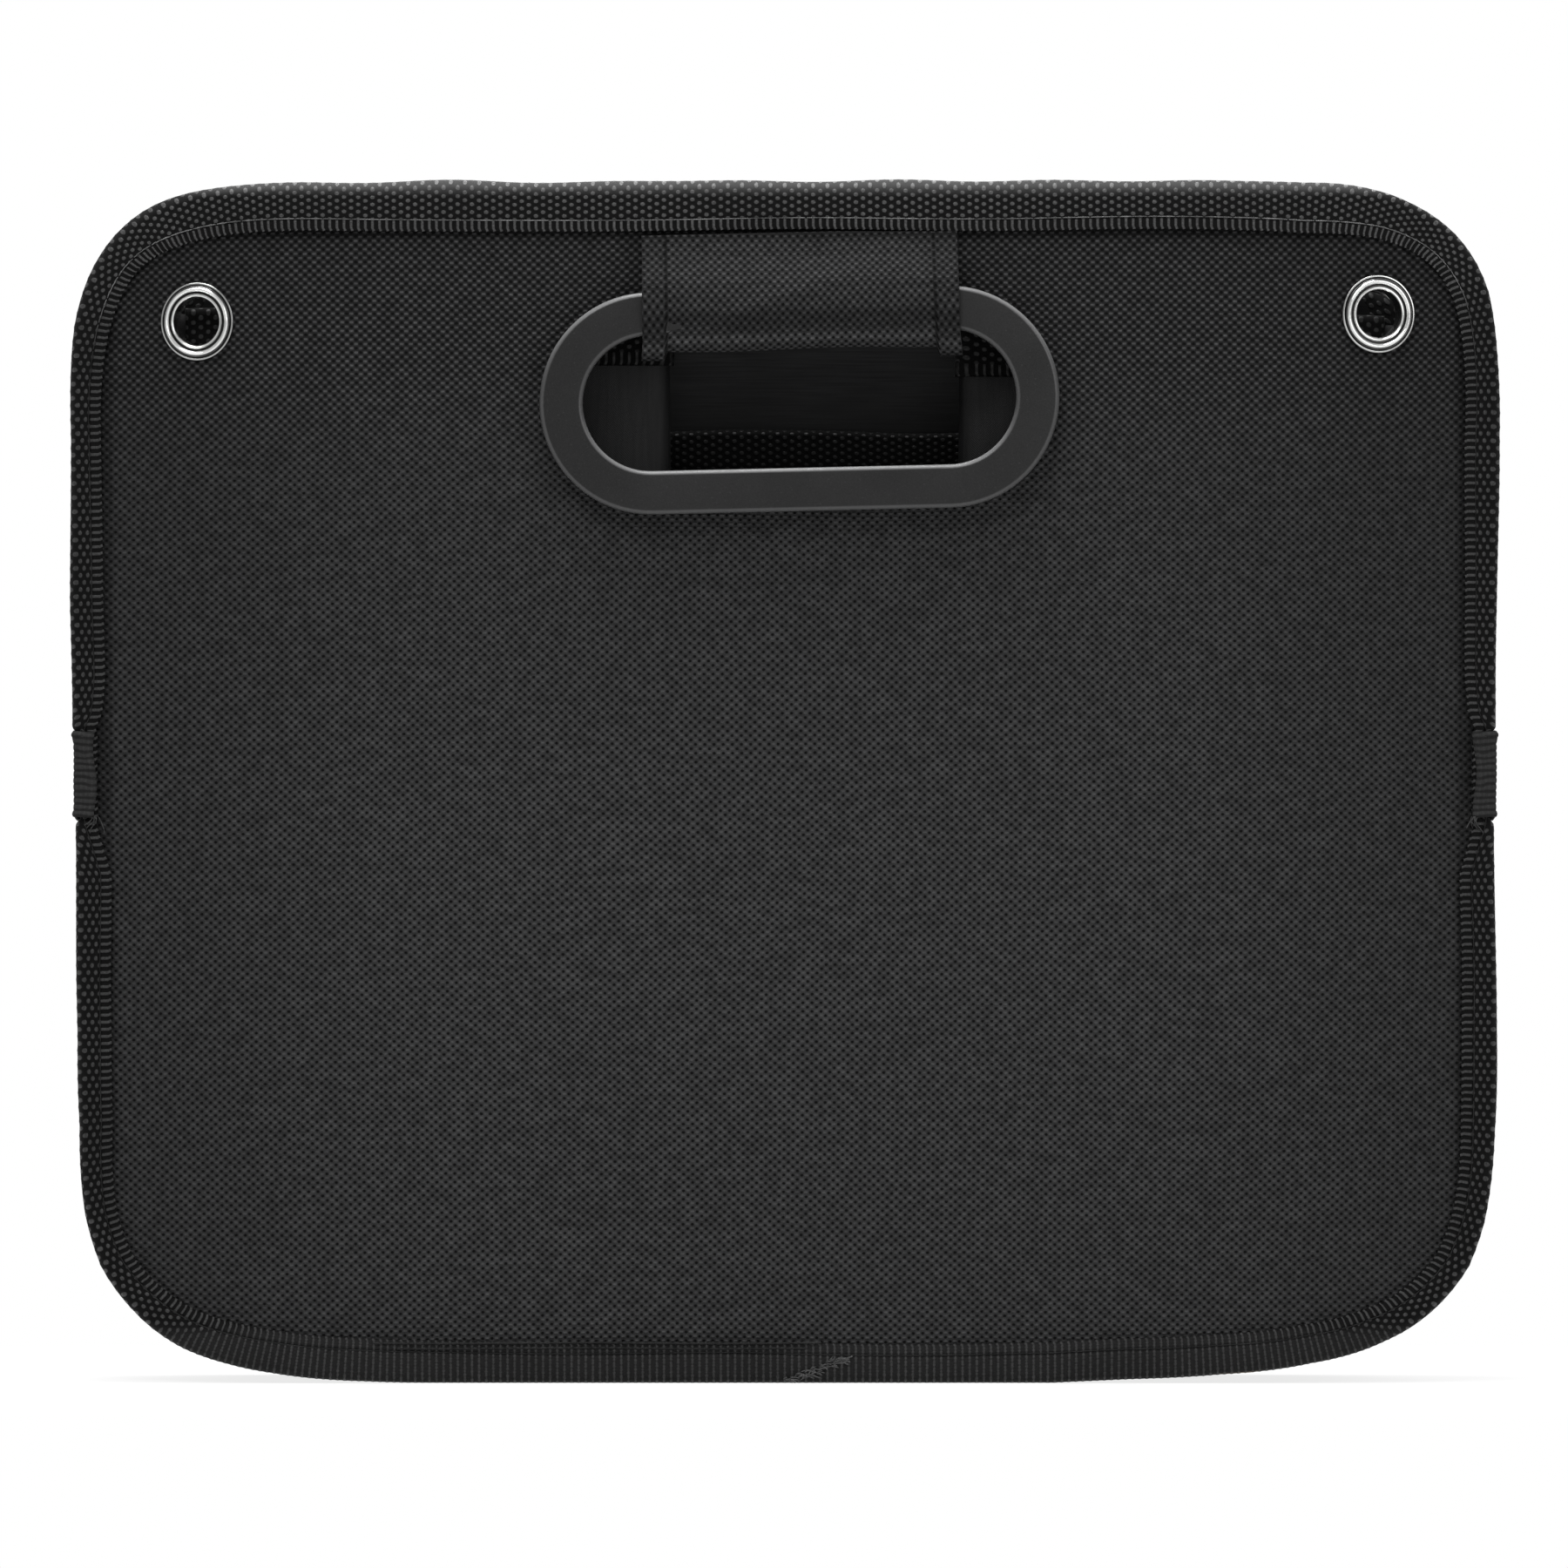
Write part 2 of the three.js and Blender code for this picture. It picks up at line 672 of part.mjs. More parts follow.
function patch(sideways, order) {
  const inner = fabricOuter + gap + order * (patchThickness + gap);
  const start = patchStart + 4 * order;
  const xs = [start, patchStart + patchLength].map((reach) => sideways * (panelHalf - reach));
  const shape = rectangle(Math.min(...xs), Math.max(...xs), strapBottom, strapBottom + strapWidth);
  return layer(rearSide * inner, rearSide * (inner + patchThickness), shape);
}

// Assembly

const organizer = new THREE.Group();

function addMesh(name, geometry, material) {
  const mesh = new THREE.Mesh(geometry, material);
  mesh.name = name;
  organizer.add(mesh);
  return mesh;
}

function addSolid(name, solid, material) {
  return addMesh(name, geometryOf(solid), material);
}

function addEyelet(panelName, place, side) {
  const seat = eyeletSeatAt(place, side);
  const pieces = [
    addMesh(`${panelName}_${place.name}_eyelet`, eyelet(), chrome),
    addMesh(`${panelName}_${place.name}_eyelet_washer`, washer(), chrome),
  ];
  for (const piece of pieces) {
    piece.rotation.z = seat.turn;
    piece.position.set(seat.x, seat.y, seat.z);
  }
}

for (const [name, side] of [['front', frontSide], ['rear', rearSide]]) {
  const tape = foldedTape(side * faceDepth, side * panelBack, even(0), tapeInset);
  addSolid(`${name}_panel_fabric`, panelLayer(side, fabricOuter, fabricInner), fabricBlack);
  addSolid(`${name}_panel_board`, panelLayer(side, boardOuter, boardInner), boardGrey);
  addSolid(`${name}_panel_lining`, panelLayer(side, liningOuter, liningInner), liningBlack);
  addSolid(`${name}_panel_binding`, tape, tapeBlack);
  addSolid(`${name}_handle_ring`, ring(side), handleBlack);
  addSolid(`${name}_handle_tab`, tab(side), fabricBlack);
  for (const place of eyeletPlaces) {
    addEyelet(name, place, side);
  }
  addSolid(`${name}_gusset`, gusset(side), gussetBlack);
  const leftTape = wallTape(side, leftSide, leftPleatReach, leftWallTop);
  const rightTape = wallTape(side, rightSide, rightPleatReach, rightWallTop);
  addSolid(`${name}_left_wall_binding`, leftTape, tapeBlack);
  addSolid(`${name}_right_wall_binding`, rightTape, tapeBlack);
  const cover = dividerLayer(side * dividerCoverInner, side * dividerCoverOuter);
  addSolid(`divider_${name}_cover`, cover, gussetBlack);
}

addSolid('divider_board', dividerLayer(-dividerBoardHalf, dividerBoardHalf), boardGrey);
addSolid('divider_binding', dividerTape(), tapeBlack);
addSolid('base_board_a', baseBoard(0), baseBoardBlack);
addSolid('base_board_b', baseBoard(1), baseBoardBlack);

for (const [name, sideways] of [['left', leftSide], ['right', rightSide]]) {
  addSolid(`${name}_strap`, strap(sideways), tapeBlack);
  addSolid(`${name}_loop_patch`, patch(sideways, 0), patchBlack);
  addSolid(`${name}_hook_patch`, patch(sideways, 1), patchBlack);
}

export default organizer;
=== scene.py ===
import math

import bmesh
import bpy
import numpy as np
from mathutils import Matrix, Vector


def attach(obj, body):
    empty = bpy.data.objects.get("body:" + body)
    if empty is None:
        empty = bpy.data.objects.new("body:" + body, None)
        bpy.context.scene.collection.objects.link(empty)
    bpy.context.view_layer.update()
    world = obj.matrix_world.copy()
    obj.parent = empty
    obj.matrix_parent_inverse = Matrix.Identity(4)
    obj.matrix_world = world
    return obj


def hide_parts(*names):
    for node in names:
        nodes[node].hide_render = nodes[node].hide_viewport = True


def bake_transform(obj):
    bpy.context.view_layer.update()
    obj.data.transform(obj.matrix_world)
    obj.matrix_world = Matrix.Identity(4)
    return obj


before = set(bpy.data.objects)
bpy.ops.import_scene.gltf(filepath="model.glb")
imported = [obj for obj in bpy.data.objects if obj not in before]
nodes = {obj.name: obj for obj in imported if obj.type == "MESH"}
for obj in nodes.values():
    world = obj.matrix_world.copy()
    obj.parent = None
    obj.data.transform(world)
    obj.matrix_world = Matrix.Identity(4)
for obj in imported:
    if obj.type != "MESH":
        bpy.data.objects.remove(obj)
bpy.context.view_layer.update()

# Car trunk organizer with two compartments, folded flat and standing on its bottom edges.
# Shapes are worked out in millimetres, +Z up, +X along the width, front panel towards -Y.
MM = 0.001
FRONT, REAR = -1, 1
LEFT, RIGHT = -1, 1
PANELS = {"front": FRONT, "rear": REAR}
HANDS = {"left": LEFT, "right": RIGHT}

# Sizes of the folded organizer. Depths are counted from the middle plane of the stack.
PANEL_HALF, PANEL_HEIGHT, PANEL_TAPER = 179.5, 303.0, 1.3
TOP_REACH, BOTTOM_REACH = 62.0, 88.0
FULLNESS = 0.8
BOW_DEPTH, BOW_REACH = 10.0, 60.0
FACE, CLOTH_FRONT, LINING_BACK, PANEL_BACK = 30.0, 28.5, 23.8, 20.4
TAPE = 1.2
HANDLE_X, HANDLE_Z, HANDLE_TILT = 3.7, 247.6, 1.3
RING_WIDTH, RING_HEIGHT, RING_BAR, RING_THICKNESS = 131.0, 56.0, 11.0, 5.0
RING_BACK, RING_EDGE = 30.3, 1.3
HAND_HOLE = (RING_WIDTH - 2 * RING_BAR + 10, RING_HEIGHT - 2 * RING_BAR + 10)
TAB_X, TAB_WIDTH, TAB_TOP, TAB_BACK, HEM = 4.6, 80.0, 290.2, 29.3, 6.1
EYELETS = {"left": (-148.1, 267.6), "right": (149.6, 269.5)}
EYELET_HOLE = 7.1
WALL_TOPS = {LEFT: 269.7, RIGHT: 266.9}
PLEATS = {LEFT: 150.5, RIGHT: 135.5}
FLOOR_PLEAT = 145.0
DIVIDER_TOP, DIVIDER_INSET, DIVIDER_FOOT, DIVIDER_CORNER = 240.5, 4.0, 6.0, 14.0
STRAP_BOTTOM, STRAP_WIDTH = 142.0, 22.5


# Camera

PHOTO_WIDTH = 0.3951
CAMERA_AWAY = 4.0
CAMERA_X, CAMERA_Z = -0.0002, 0.1510
SENSOR = 36.0

camera = bpy.data.objects.new("camera", bpy.data.cameras.new("camera"))
camera.data.sensor_width = SENSOR
camera.data.lens = SENSOR * CAMERA_AWAY / PHOTO_WIDTH
camera.data.clip_start = 0.05
camera.location = (CAMERA_X, -CAMERA_AWAY - CLOTH_FRONT * MM, CAMERA_Z)
camera.rotation_euler = (math.pi / 2, 0, 0)
bpy.context.scene.collection.objects.link(camera)
bpy.context.scene.camera = camera
bpy.context.scene.view_settings.view_transform = "Standard"


# Shader building

class Amount:
    """A number that a material's nodes work out, open to arithmetic."""

    def __init__(self, tools, socket):
        self.tools, self.socket = tools, socket

    def __add__(self, other):
        return self.tools.math("ADD", self, other)

    def __sub__(self, other):
        return self.tools.math("SUBTRACT", self, other)

    def __mul__(self, other):
        return self.tools.math("MULTIPLY", self, other)

    def __pow__(self, other):
        return self.tools.math("POWER", self, other)

    def __abs__(self):
        return self.tools.math("ABSOLUTE", self)

    def most(self, other):
        return self.tools.math("MAXIMUM", self, other)

    def least(self, other):
        return self.tools.math("MINIMUM", self, other)

    def cosine(self, pace=1.0):
        return self.tools.math("COSINE", self * pace)

    def ramp(self, low, high, to_low=0.0, to_high=1.0, kind="SMOOTHSTEP"):
        inputs = {"Value": self, "From Min": low, "From Max": high, "To Min": to_low, "To Max": to_high}
        return Amount(self.tools, self.tools.add("MapRange", inputs, interpolation_type=kind)[0])

    def between(self, at_none, at_full):
        """A straight run from one value where the amount is 0 to another where it is 1."""
        return self.ramp(0.0, 1.0, at_none, at_full, "LINEAR")

    def spread(self, share):
        """A factor about 1 that a noise takes up or down by a share."""
        return self.ramp(0.25, 0.75, 1 - share, 1 + share)


class Nodes:
    """Short ways to add nodes to a tree."""

    def __init__(self, tree):
        self.tree = tree

    def add(self, kind, inputs=(), **settings):
        made = self.tree.nodes.new("ShaderNode" + kind)
        for key, value in settings.items():
            setattr(made, key, value)
        for key, value in dict(inputs).items():
            self.put(made.inputs[key], value)
        return made.outputs

    def put(self, socket, value):
        if isinstance(value, Amount):
            value = value.socket
        if isinstance(value, bpy.types.NodeSocket):
            self.tree.links.new(value, socket)
        else:
            socket.default_value = value

    def math(self, operation, a, b=0.0):
        return Amount(self, self.add("Math", {0: a, 1: b}, operation=operation)[0])


class Finish(Nodes):
    """A material and the patterns it is made of."""

    def __init__(self, name):
        self.material = bpy.data.materials.new(name)
        self.material.use_nodes = True
        super().__init__(self.material.node_tree)
        self.shader = self.tree.nodes["Principled BSDF"]

    def mix(self, share, a, b):
        return Amount(self, self.add("Mix", {0: share, 2: a, 3: b})[0])

    def place(self, source, stretch=(1, 1, 1)):
        return self.add("Mapping", {"Vector": self.add("TexCoord")[source], "Scale": stretch})[0]

    def axes(self, place):
        """The three parts of a vector, or of where a point lies in the object or its pattern."""
        vector = self.place(place) if isinstance(place, str) else place
        return [Amount(self, socket) for socket in self.add("SeparateXYZ", {0: vector})]

    def noise(self, source, scale, detail=2.0, rough=0.5):
        """Noise over the object or its pattern, with one scale or one along each axis."""
        stretch, scale = (scale, 1.0) if isinstance(scale, tuple) else ((1, 1, 1), scale)
        inputs = {"Vector": self.place(source, stretch), "Scale": scale, "Detail": detail, "Roughness": rough}
        return Amount(self, self.add("TexNoise", inputs)[0])

    def wear(self, level, rough, bumps=(), tint=(1.0, 1.0, 1.0), metallic=0.0, specular=0.5):
        """Sets the surface: a grey of some level with a slight tint. Each bump is an amount, the height that an
        amount of 1 stands for, and the bump's strength."""
        parts = [self.math("MULTIPLY", level, share) for share in tint]
        color = self.add("CombineColor", dict(enumerate(parts)))[0]
        for key, value in (("Base Color", color), ("Roughness", rough), ("Metallic", metallic),
                           ("Specular IOR Level", specular)):
            self.put(self.shader.inputs[key], value)
        under = {}
        for amount, height, strength in bumps:
            inputs = {"Height": amount, "Distance": height, "Strength": strength, **under}
            under = {"Normal": self.add("Bump", inputs)[0]}
        if under:
            self.put(self.shader.inputs["Normal"], under["Normal"])
        return self.material


# Finishes. Lengths are in metres where a pattern follows the object, and in rows and ribs of the piece's own
# pattern where it follows the UV. A level is how much light the plain material gives back.

FUZZ = 4600.0


def woven_cloth(name, source, threads, level, dashed=(0.0, 1.0), relief=0.00030, hem=None, fold=None):
    """Black polyester canvas: plump weft dashes, with small dark gaps between the threads. dashed says how far
    the dashes stand out low down and near the top, where painted grazing light from above makes them brighter
    on a darker ground. hem is the cloth's width and its hem's, and fold the place of a fold, which gets a
    painted highlight along it and painted shade in the pressed dip beside it."""
    finish = Finish(name)
    where = finish.place(source)
    drift = finish.add("TexNoise", {"Vector": where, "Scale": 11.0, "Detail": 1.0})[1]
    moved = finish.add("VectorMath", {0: drift, 1: (0.0035, 0.0035, 0.0035), 2: where},
                       operation="MULTIPLY_ADD")[0]
    axes = finish.axes(moved)
    cos_across = axes[0].cosine(math.pi / threads[0])
    cos_along = axes[2 if source == "Object" else 1].cosine(math.pi / threads[1])
    over = cos_across * cos_along
    dash = abs(cos_across) ** 0.35 * abs(cos_along) ** 2.0 * over.ramp(-0.02, 0.16)
    dot = over.ramp(-0.25, -0.85)
    aside, _, height = finish.axes("Object")
    # Painted grazing light from above: near the top the dashes are painted brighter, the ground between them
    # darker and the dark dots fainter
    painted_grazing_light = height.ramp(0.222, 0.266, *dashed)
    field = painted_grazing_light.between(1.08, 0.56)
    bright = (field + dash * painted_grazing_light.between(0.86, 2.20) - dot * painted_grazing_light.between(1.16, 0.66)).most(0.08)
    yarn = finish.noise(source, (170, 800, 800), 1.0)
    cell = finish.noise(source, 480.0, 0.0)
    fuzz = finish.noise(source, FUZZ, 1.0)
    bright = bright * yarn.spread(0.12) * cell.spread(0.16) * fuzz.spread(0.20)
    if hem:
        width, turned = hem
        across = finish.axes(where)[0]
        near = across.least(finish.math("SUBTRACT", width, across))
        bright = bright * abs(near - turned).ramp(0.0001, 0.0007, 0.35, 1.0)
        bright = bright * near.ramp(turned, turned + 0.0003, 0.84, 1.0)
    if fold:
        # A painted highlight runs along the fold, with painted shade in the pressed dip beside it
        down = finish.axes(where)[1] - fold
        bright = bright * abs(down).ramp(0.0014, 0.0006).between(1.0, 1.45)
        bright = bright * abs(down + 0.0042).ramp(0.0050, 0.0018).between(1.0, 0.66)
    # The light falls off beside the tape, and towards the top and sides
    bright = bright * height.ramp(0.2872, 0.2898, 1.0, 0.42) * height.ramp(0.130, 0.235, 1.0, 0.82)
    bright = bright * abs(aside).ramp(0.1688, 0.1706, 1.0, 0.6) * abs(aside).ramp(0.085, 0.170, 1.0, 0.76)
    return finish.wear(bright * level, dash.ramp(0.0, 1.0, 0.9, 0.6),
                       [(dash - dot * 0.6, relief, 0.8), (fuzz, 0.00003, 0.5)], (1.0, 1.0, 1.02), specular=0.10)


SELVEDGE, GRAIN_ROW = 2.8, 0.96


def grained_webbing(name, level, floor_ribs=True, specular=0.15):
    """Polypropylene binding: staggered plump grains, with a ribbed selvedge, counted by the piece's UV. With
    floor_ribs it is ribbed over its whole width near the floor."""
    finish = Finish(name)
    height = finish.axes("Object")[2]
    station, row, _ = finish.axes("UV")
    turn = station * (2 * math.pi)
    grains = turn.cosine() * 0.35 + turn.cosine(0.5) * row.cosine(math.pi)
    ribs = (turn + row.ramp(0.9, 0.0) * 1.1).cosine()
    edge = row.ramp(SELVEDGE + 0.1, SELVEDGE - 0.1)
    if floor_ribs:
        floor = height.ramp(0.016, 0.011)
        ribs = floor * (row.cosine(7.5).ramp(-0.9, 0.6) * -0.38) + ribs
        edge = edge.most(floor * 0.85)
    grain = finish.mix(edge, grains, ribs).ramp(0.0, 0.75)
    if floor_ribs:
        grain = finish.mix(floor, grain, grain.between(0.20, 0.74))
    streak = finish.noise("UV", (1.9, 1.9 * 2.3, 1.9), 1.0)
    fuzz = finish.noise("Object", FUZZ, 1.0)
    cloud = finish.noise("Object", 40.0, 2.0)
    # Painted shade darkens the stitch groove beside the selvedge
    bright = grain.between(0.06, 2.55) * abs(row - (SELVEDGE + 0.2)).ramp(0.0, 0.45, 0.25, 1.0)
    bright = bright * streak.spread(0.34) * fuzz.spread(0.18) * cloud.spread(0.12)
    # Lighter along the bottom, painted lighter towards the top where the light from above falls, with a painted
    # highlight on the top rim
    bright = bright * height.ramp(0.015, 0.050, 1.0, 0.74) * height.ramp(0.255, 0.292, 1.0, 1.70)
    bright = bright + height.ramp(0.2986, 0.3022, 0.0, 3.0)
    return finish.wear(bright * level, grain.ramp(0.0, 1.0, 0.9, 0.45),
                       [(grain, 0.00020, 0.8), (fuzz, 0.00003, 0.5)], specular=specular)


def ribbed_webbing(name, level):
    """Strap webbing with fine ribs along it, counted by the piece's UV, and light worn specks."""
    finish = Finish(name)
    along, row, _ = finish.axes("UV")
    wander = finish.noise("UV", (0.2, 0.3, 1.0)).ramp(0.2, 0.8, -0.35, 0.35)
    rib = (row + wander).cosine(2 * math.pi).ramp(0.9, -0.6)
    pick = along.cosine(2.6 * math.pi)
    fibre = finish.noise("UV", (9.0, 1.6, 1.0))
    speck = finish.noise("UV", (1.4, 2.6, 1.0), 1.0).ramp(0.66, 0.76)
    fuzz = finish.noise("Object", FUZZ, 1.0)
    bright = rib.between(0.45, 1.35) * pick.spread(0.12) * fibre.spread(0.25) * fuzz.spread(0.15)
    return finish.wear((bright + speck * 1.1) * level, 0.75, [(rib, 0.00012, 0.8), (fibre, 0.00006, 0.6)],
                       specular=0.15)


def coated_cloth(name, level):
    """Smooth proofed lining cloth, with faint streaks and a very fine weave."""
    finish = Finish(name)
    streak = finish.noise("Object", (900, 900, 900 / 14), 3.0)
    cloud = finish.noise("Object", 34.0, 3.0)
    across, _, up = finish.axes("Object")
    thread = 2 * math.pi / 0.0006
    weave = finish.math("SINE", across * thread) * finish.math("SINE", up * thread)
    bright = streak.ramp(0.3, 0.7, 0.80, 1.22) * cloud.ramp(0.3, 0.7, 0.85, 1.15)
    return finish.wear(bright * weave.ramp(-1.0, 1.0, 0.90, 1.10) * level, cloud.ramp(0.3, 0.7, 0.44, 0.58),
                       [(weave, 0.00005, 0.5), (streak, 0.00008, 0.6)], (1.0, 1.01, 1.03), specular=0.12)


BEVEL_ROWS = (2.5, 8.5)


def moulded_plastic(name, level):
    """Satin black plastic with a fine spark-eroded grain, faint pale specks and polished front edges, painted
    lighter where they face up as a painted highlight.
    """
    finish = Finish(name)
    grain = finish.noise("Object", 2600.0)
    speck = finish.noise("Object", 1500.0, 0.0).ramp(0.72, 0.80)
    cloud = finish.noise("Object", 45.0, 3.0)
    row = finish.axes("UV")[1]
    outer, inner = (abs(row - place).ramp(2.4, 1.2) for place in BEVEL_ROWS)
    bevel = outer.most(inner)
    upward = finish.axes(finish.add("NewGeometry")["Normal"])[2]
    bright = grain.ramp(0.3, 0.7, 0.84, 1.16) * cloud.ramp(0.3, 0.7, 0.92, 1.08)
    # Painted highlight: the front edges are painted lighter the more they face up, towards the light above
    bright = bright + speck * 0.7 + bevel * upward.ramp(0.05, 0.75, 3.4, 15.0)
    satin = cloud.ramp(0.3, 0.7, 0.36, 0.44)
    return finish.wear(bright * level, finish.mix(bevel, satin, 0.28), [(grain, 0.00006, 0.55)], (1.0, 1.0, 1.01),
                       specular=0.2)


GROOVES = (7.2, 9.15)


def polished_metal(name, level):
    """Bright nickel plate with a little haze, painted dark in the rolled ring's grooves and past its outer rim as
    painted shade and dark reflection. The piece's V is the radius.
    """
    finish = Finish(name)
    haze = finish.noise("Object", 400.0, 3.0)
    scratch = finish.noise("Object", 2400.0, 1.0)
    radius = finish.axes("UV")[1]
    bright = haze.ramp(0.3, 0.7, level * 0.95, level * 1.04)
    # Painted shade and dark reflection: darker in the grooves and past the outer rim
    for groove in GROOVES:
        bright = bright * abs(radius - groove).ramp(0.14, 0.30, 0.10, 1.0)
    bright = bright * radius.ramp(9.2, 9.35, 1.0, 0.55)
    return finish.wear(bright, haze.ramp(0.3, 0.7, 0.17, 0.21), [(scratch, 0.000002, 0.3)], (1.0, 1.0, 0.99),
                       metallic=1.0)


def pressed_board(name, level):
    """Grey-brown pressed board with a layered, fibrous cut edge."""
    finish = Finish(name)
    fibre = finish.noise("Object", (1400, 500, 1400), 4.0, 0.7)
    cloud = finish.noise("Object", 60.0, 3.0)
    bright = fibre.ramp(0.3, 0.7, 0.7, 1.25) * cloud.ramp(0.3, 0.7, 0.85, 1.1)
    return finish.wear(bright * level, 0.95, [(fibre, 0.00025, 0.7)], (1.0, 0.86, 0.70), specular=0.2)


def base_sheet(name, level):
    """Thin black plastic-faced stiffener, matt, with faint crosswise streaks. It is painted darker lower down, as
    the painted shadow of the divider tape that stands in front of it.
    """
    finish = Finish(name)
    streak = finish.noise("Object", (60, 60, 2400), 3.0)
    cloud = finish.noise("Object", 40.0, 4.0)
    height = finish.axes("Object")[2]
    bright = streak.ramp(0.3, 0.7, 0.70, 1.30) * cloud.ramp(0.3, 0.7, 0.8, 1.2)
    # Painted shadow of the divider tape: darker lower down, lighter near the top
    bright = bright * height.ramp(0.238, 0.262, 0.50, 1.40)
    return finish.wear(bright * level, 0.55, [(streak, 0.00005, 0.6)], (1.0, 1.03, 1.05), specular=0.10)


def sewing_thread(name, level, pale_above=None):
    """Twisted sewing thread with a slight shine. Where pale_above gives a height, it is paler above that height
    and much darker below it.
    """
    finish = Finish(name)
    twist = finish.noise("Object", 3200.0)
    bright = twist.ramp(0.3, 0.7, 0.6, 1.5) * finish.noise("Object", 260.0).ramp(0.3, 0.7, 0.6, 1.4)
    if pale_above:
        height = finish.axes("Object")[2]
        bright = bright * finish.noise("Object", 70.0, 1.0).ramp(0.3, 0.7, 0.55, 1.25)
        bright = bright * height.ramp(pale_above - 0.012, pale_above + 0.012, 0.10, 1.0)
    return finish.wear(bright * level, 0.6, [(twist, 0.0001, 0.8)], specular=0.15)


def nap(name, level):
    """Hook and loop tape: a dense short pile."""
    finish = Finish(name)
    pile = finish.noise("Object", 1900.0, 3.0)
    tuft = Amount(finish, finish.add("TexVoronoi", {"Vector": finish.place("Object"), "Scale": 900.0})[0])
    bright = pile.ramp(0.3, 0.7, 0.5, 1.5) * tuft.ramp(0.0, 0.7, 1.4, 0.6)
    return finish.wear(bright * level, 0.95, [(pile, 0.0005, 0.9)], specular=0.15)


panel_canvas = woven_cloth("panel_canvas", "Object", (0.00115, 0.00108), 0.0163)
tab_canvas = woven_cloth("tab_canvas", "UV", (0.00105, 0.00120), 0.0176, dashed=(0.35, 0.35), relief=0.00035,
                         hem=(TAB_WIDTH * MM, HEM * MM), fold=0.0288)
binding_webbing = grained_webbing("binding_webbing", 0.0114)
# Darker copies of the binding webbing for the tapes inside the compartments: painted shade where little light
# reaches
inner_webbing_painted_shade = grained_webbing("inner_webbing_painted_shade", 0.0056, floor_ribs=False)
divider_webbing_painted_shade = grained_webbing("divider_webbing_painted_shade", 0.0022, floor_ribs=False, specular=0.08)
strap_webbing = ribbed_webbing("strap_webbing", 0.0112)
gusset_cloth = coated_cloth("gusset_cloth", 0.0080)
lining_cloth = coated_cloth("lining_cloth", 0.0080)
handle_plastic = moulded_plastic("handle_plastic", 0.0088)
nickel_plate = polished_metal("nickel_plate", 0.72)
board_core = pressed_board("board_core", 0.16)
base_stiffener = base_sheet("base_stiffener", 0.0060)
black_thread = sewing_thread("black_thread", 0.0230)
pale_thread = sewing_thread("pale_thread", 0.0420)
seam_thread = sewing_thread("seam_thread", 0.0750, 0.270)
hook_and_loop_nap = nap("hook_and_loop_nap", 0.0120)


# The stack's shape

def bow(x):
    """How far a layer is drawn in from the flat middle, past which the side edges curve inwards."""
    past = np.maximum(0.0, np.abs(x) - (PANEL_HALF - BOW_REACH)) / BOW_REACH
    return BOW_DEPTH * past * past


def bent(x, y):
    """The depth of a layer after the stack's side edges are drawn in."""
    return y - np.sign(y) * bow(x) * np.minimum(np.abs(y) / PANEL_BACK, 1.0)


CURVE_POINTS = 40


def bezier(a, b, c, d):
    """Points along a curve from a to d that is pulled towards b and c."""
    t = np.linspace(0, 1, CURVE_POINTS)[:, None]
    a, b, c, d = (np.array(point, float) for point in (a, b, c, d))
    return a * (1 - t) ** 3 + 3 * b * t * (1 - t) ** 2 + 3 * c * t * t * (1 - t) + d * t ** 3


def rim(inset=(0.0, 0.0, 0.0), top=PANEL_HEIGHT, top_reach=TOP_REACH):
    """An outline as points in x and z, from the middle of the bottom edge, anticlockwise from the front. inset is
    how far it lies inside the whole at the top, sides and bottom."""
    inset_top, inset_side, inset_bottom = inset
    top_half = PANEL_HALF - inset_side
    foot_half = top_half - PANEL_TAPER
    high, low = top - inset_top, inset_bottom
    shrink = 8 * (1 - math.sqrt(0.5)) / (4 - 3 * FULLNESS)
    upper = max(top_reach - shrink * (inset_top + inset_side) / 2, 1.0)
    lower = BOTTOM_REACH - shrink * (inset_bottom + inset_side) / 2
    pull_up, pull_low = upper * (1 - FULLNESS), lower * (1 - FULLNESS)
    foot = bezier((foot_half - lower, low), (foot_half - pull_low, low),
                  (foot_half, low + pull_low), (foot_half, low + lower))
    head = bezier((top_half, high - upper), (top_half, high - pull_up),
                  (top_half - pull_up, high), (top_half - upper, high))
    half = np.concatenate([[[0.0, low]], foot, head, [[0.0, high]]])
    other = half[::-1] * [-1, 1]
    return np.concatenate([half, other[1:]])


def evenly(points, count):
    """Points at even distances along a line."""
    points = np.asarray(points, float)
    steps = np.linalg.norm(np.diff(points, axis=0), axis=1)
    run = np.concatenate([[0.0], np.cumsum(steps)])
    where = np.linspace(0, run[-1], count)
    return np.column_stack([np.interp(where, run, points[:, k]) for k in range(points.shape[1])])


def unevenness(a, b, wavelength, seed):
    """A smooth waviness over two coordinates, mostly between -1 and 1."""
    waves = 7
    draw = np.random.default_rng(seed)
    total = 0.0
    for _ in range(waves):
        turn, start = draw.uniform(0, 2 * math.pi, 2)
        count = 2 * math.pi / (wavelength * draw.uniform(0.65, 1.5))
        total = total + np.sin(count * (a * math.cos(turn) + b * math.sin(turn)) + start)
    return total / math.sqrt(waves)


def smooth(value, low, high):
    """0 below low and 1 above high, with an even run between them."""
    t = np.clip((value - low) / (high - low), 0.0, 1.0)
    return t * t * (3 - 2 * t)


def bell(value, middle, reach):
    """1 at the middle, and falling off to both sides."""
    return np.exp(-((value - middle) / reach) ** 2)


def units(vectors):
    """Vectors brought to a length of 1."""
    return vectors / np.linalg.norm(vectors, axis=1)[:, None]


def beside(line, run, station, off):
    """Points at some distance to the left of a line, at its stations."""
    return line[station, 0] - run[station, 1] * off, line[station, 1] + run[station, 0] * off


SIDE_STRIP = 160.0


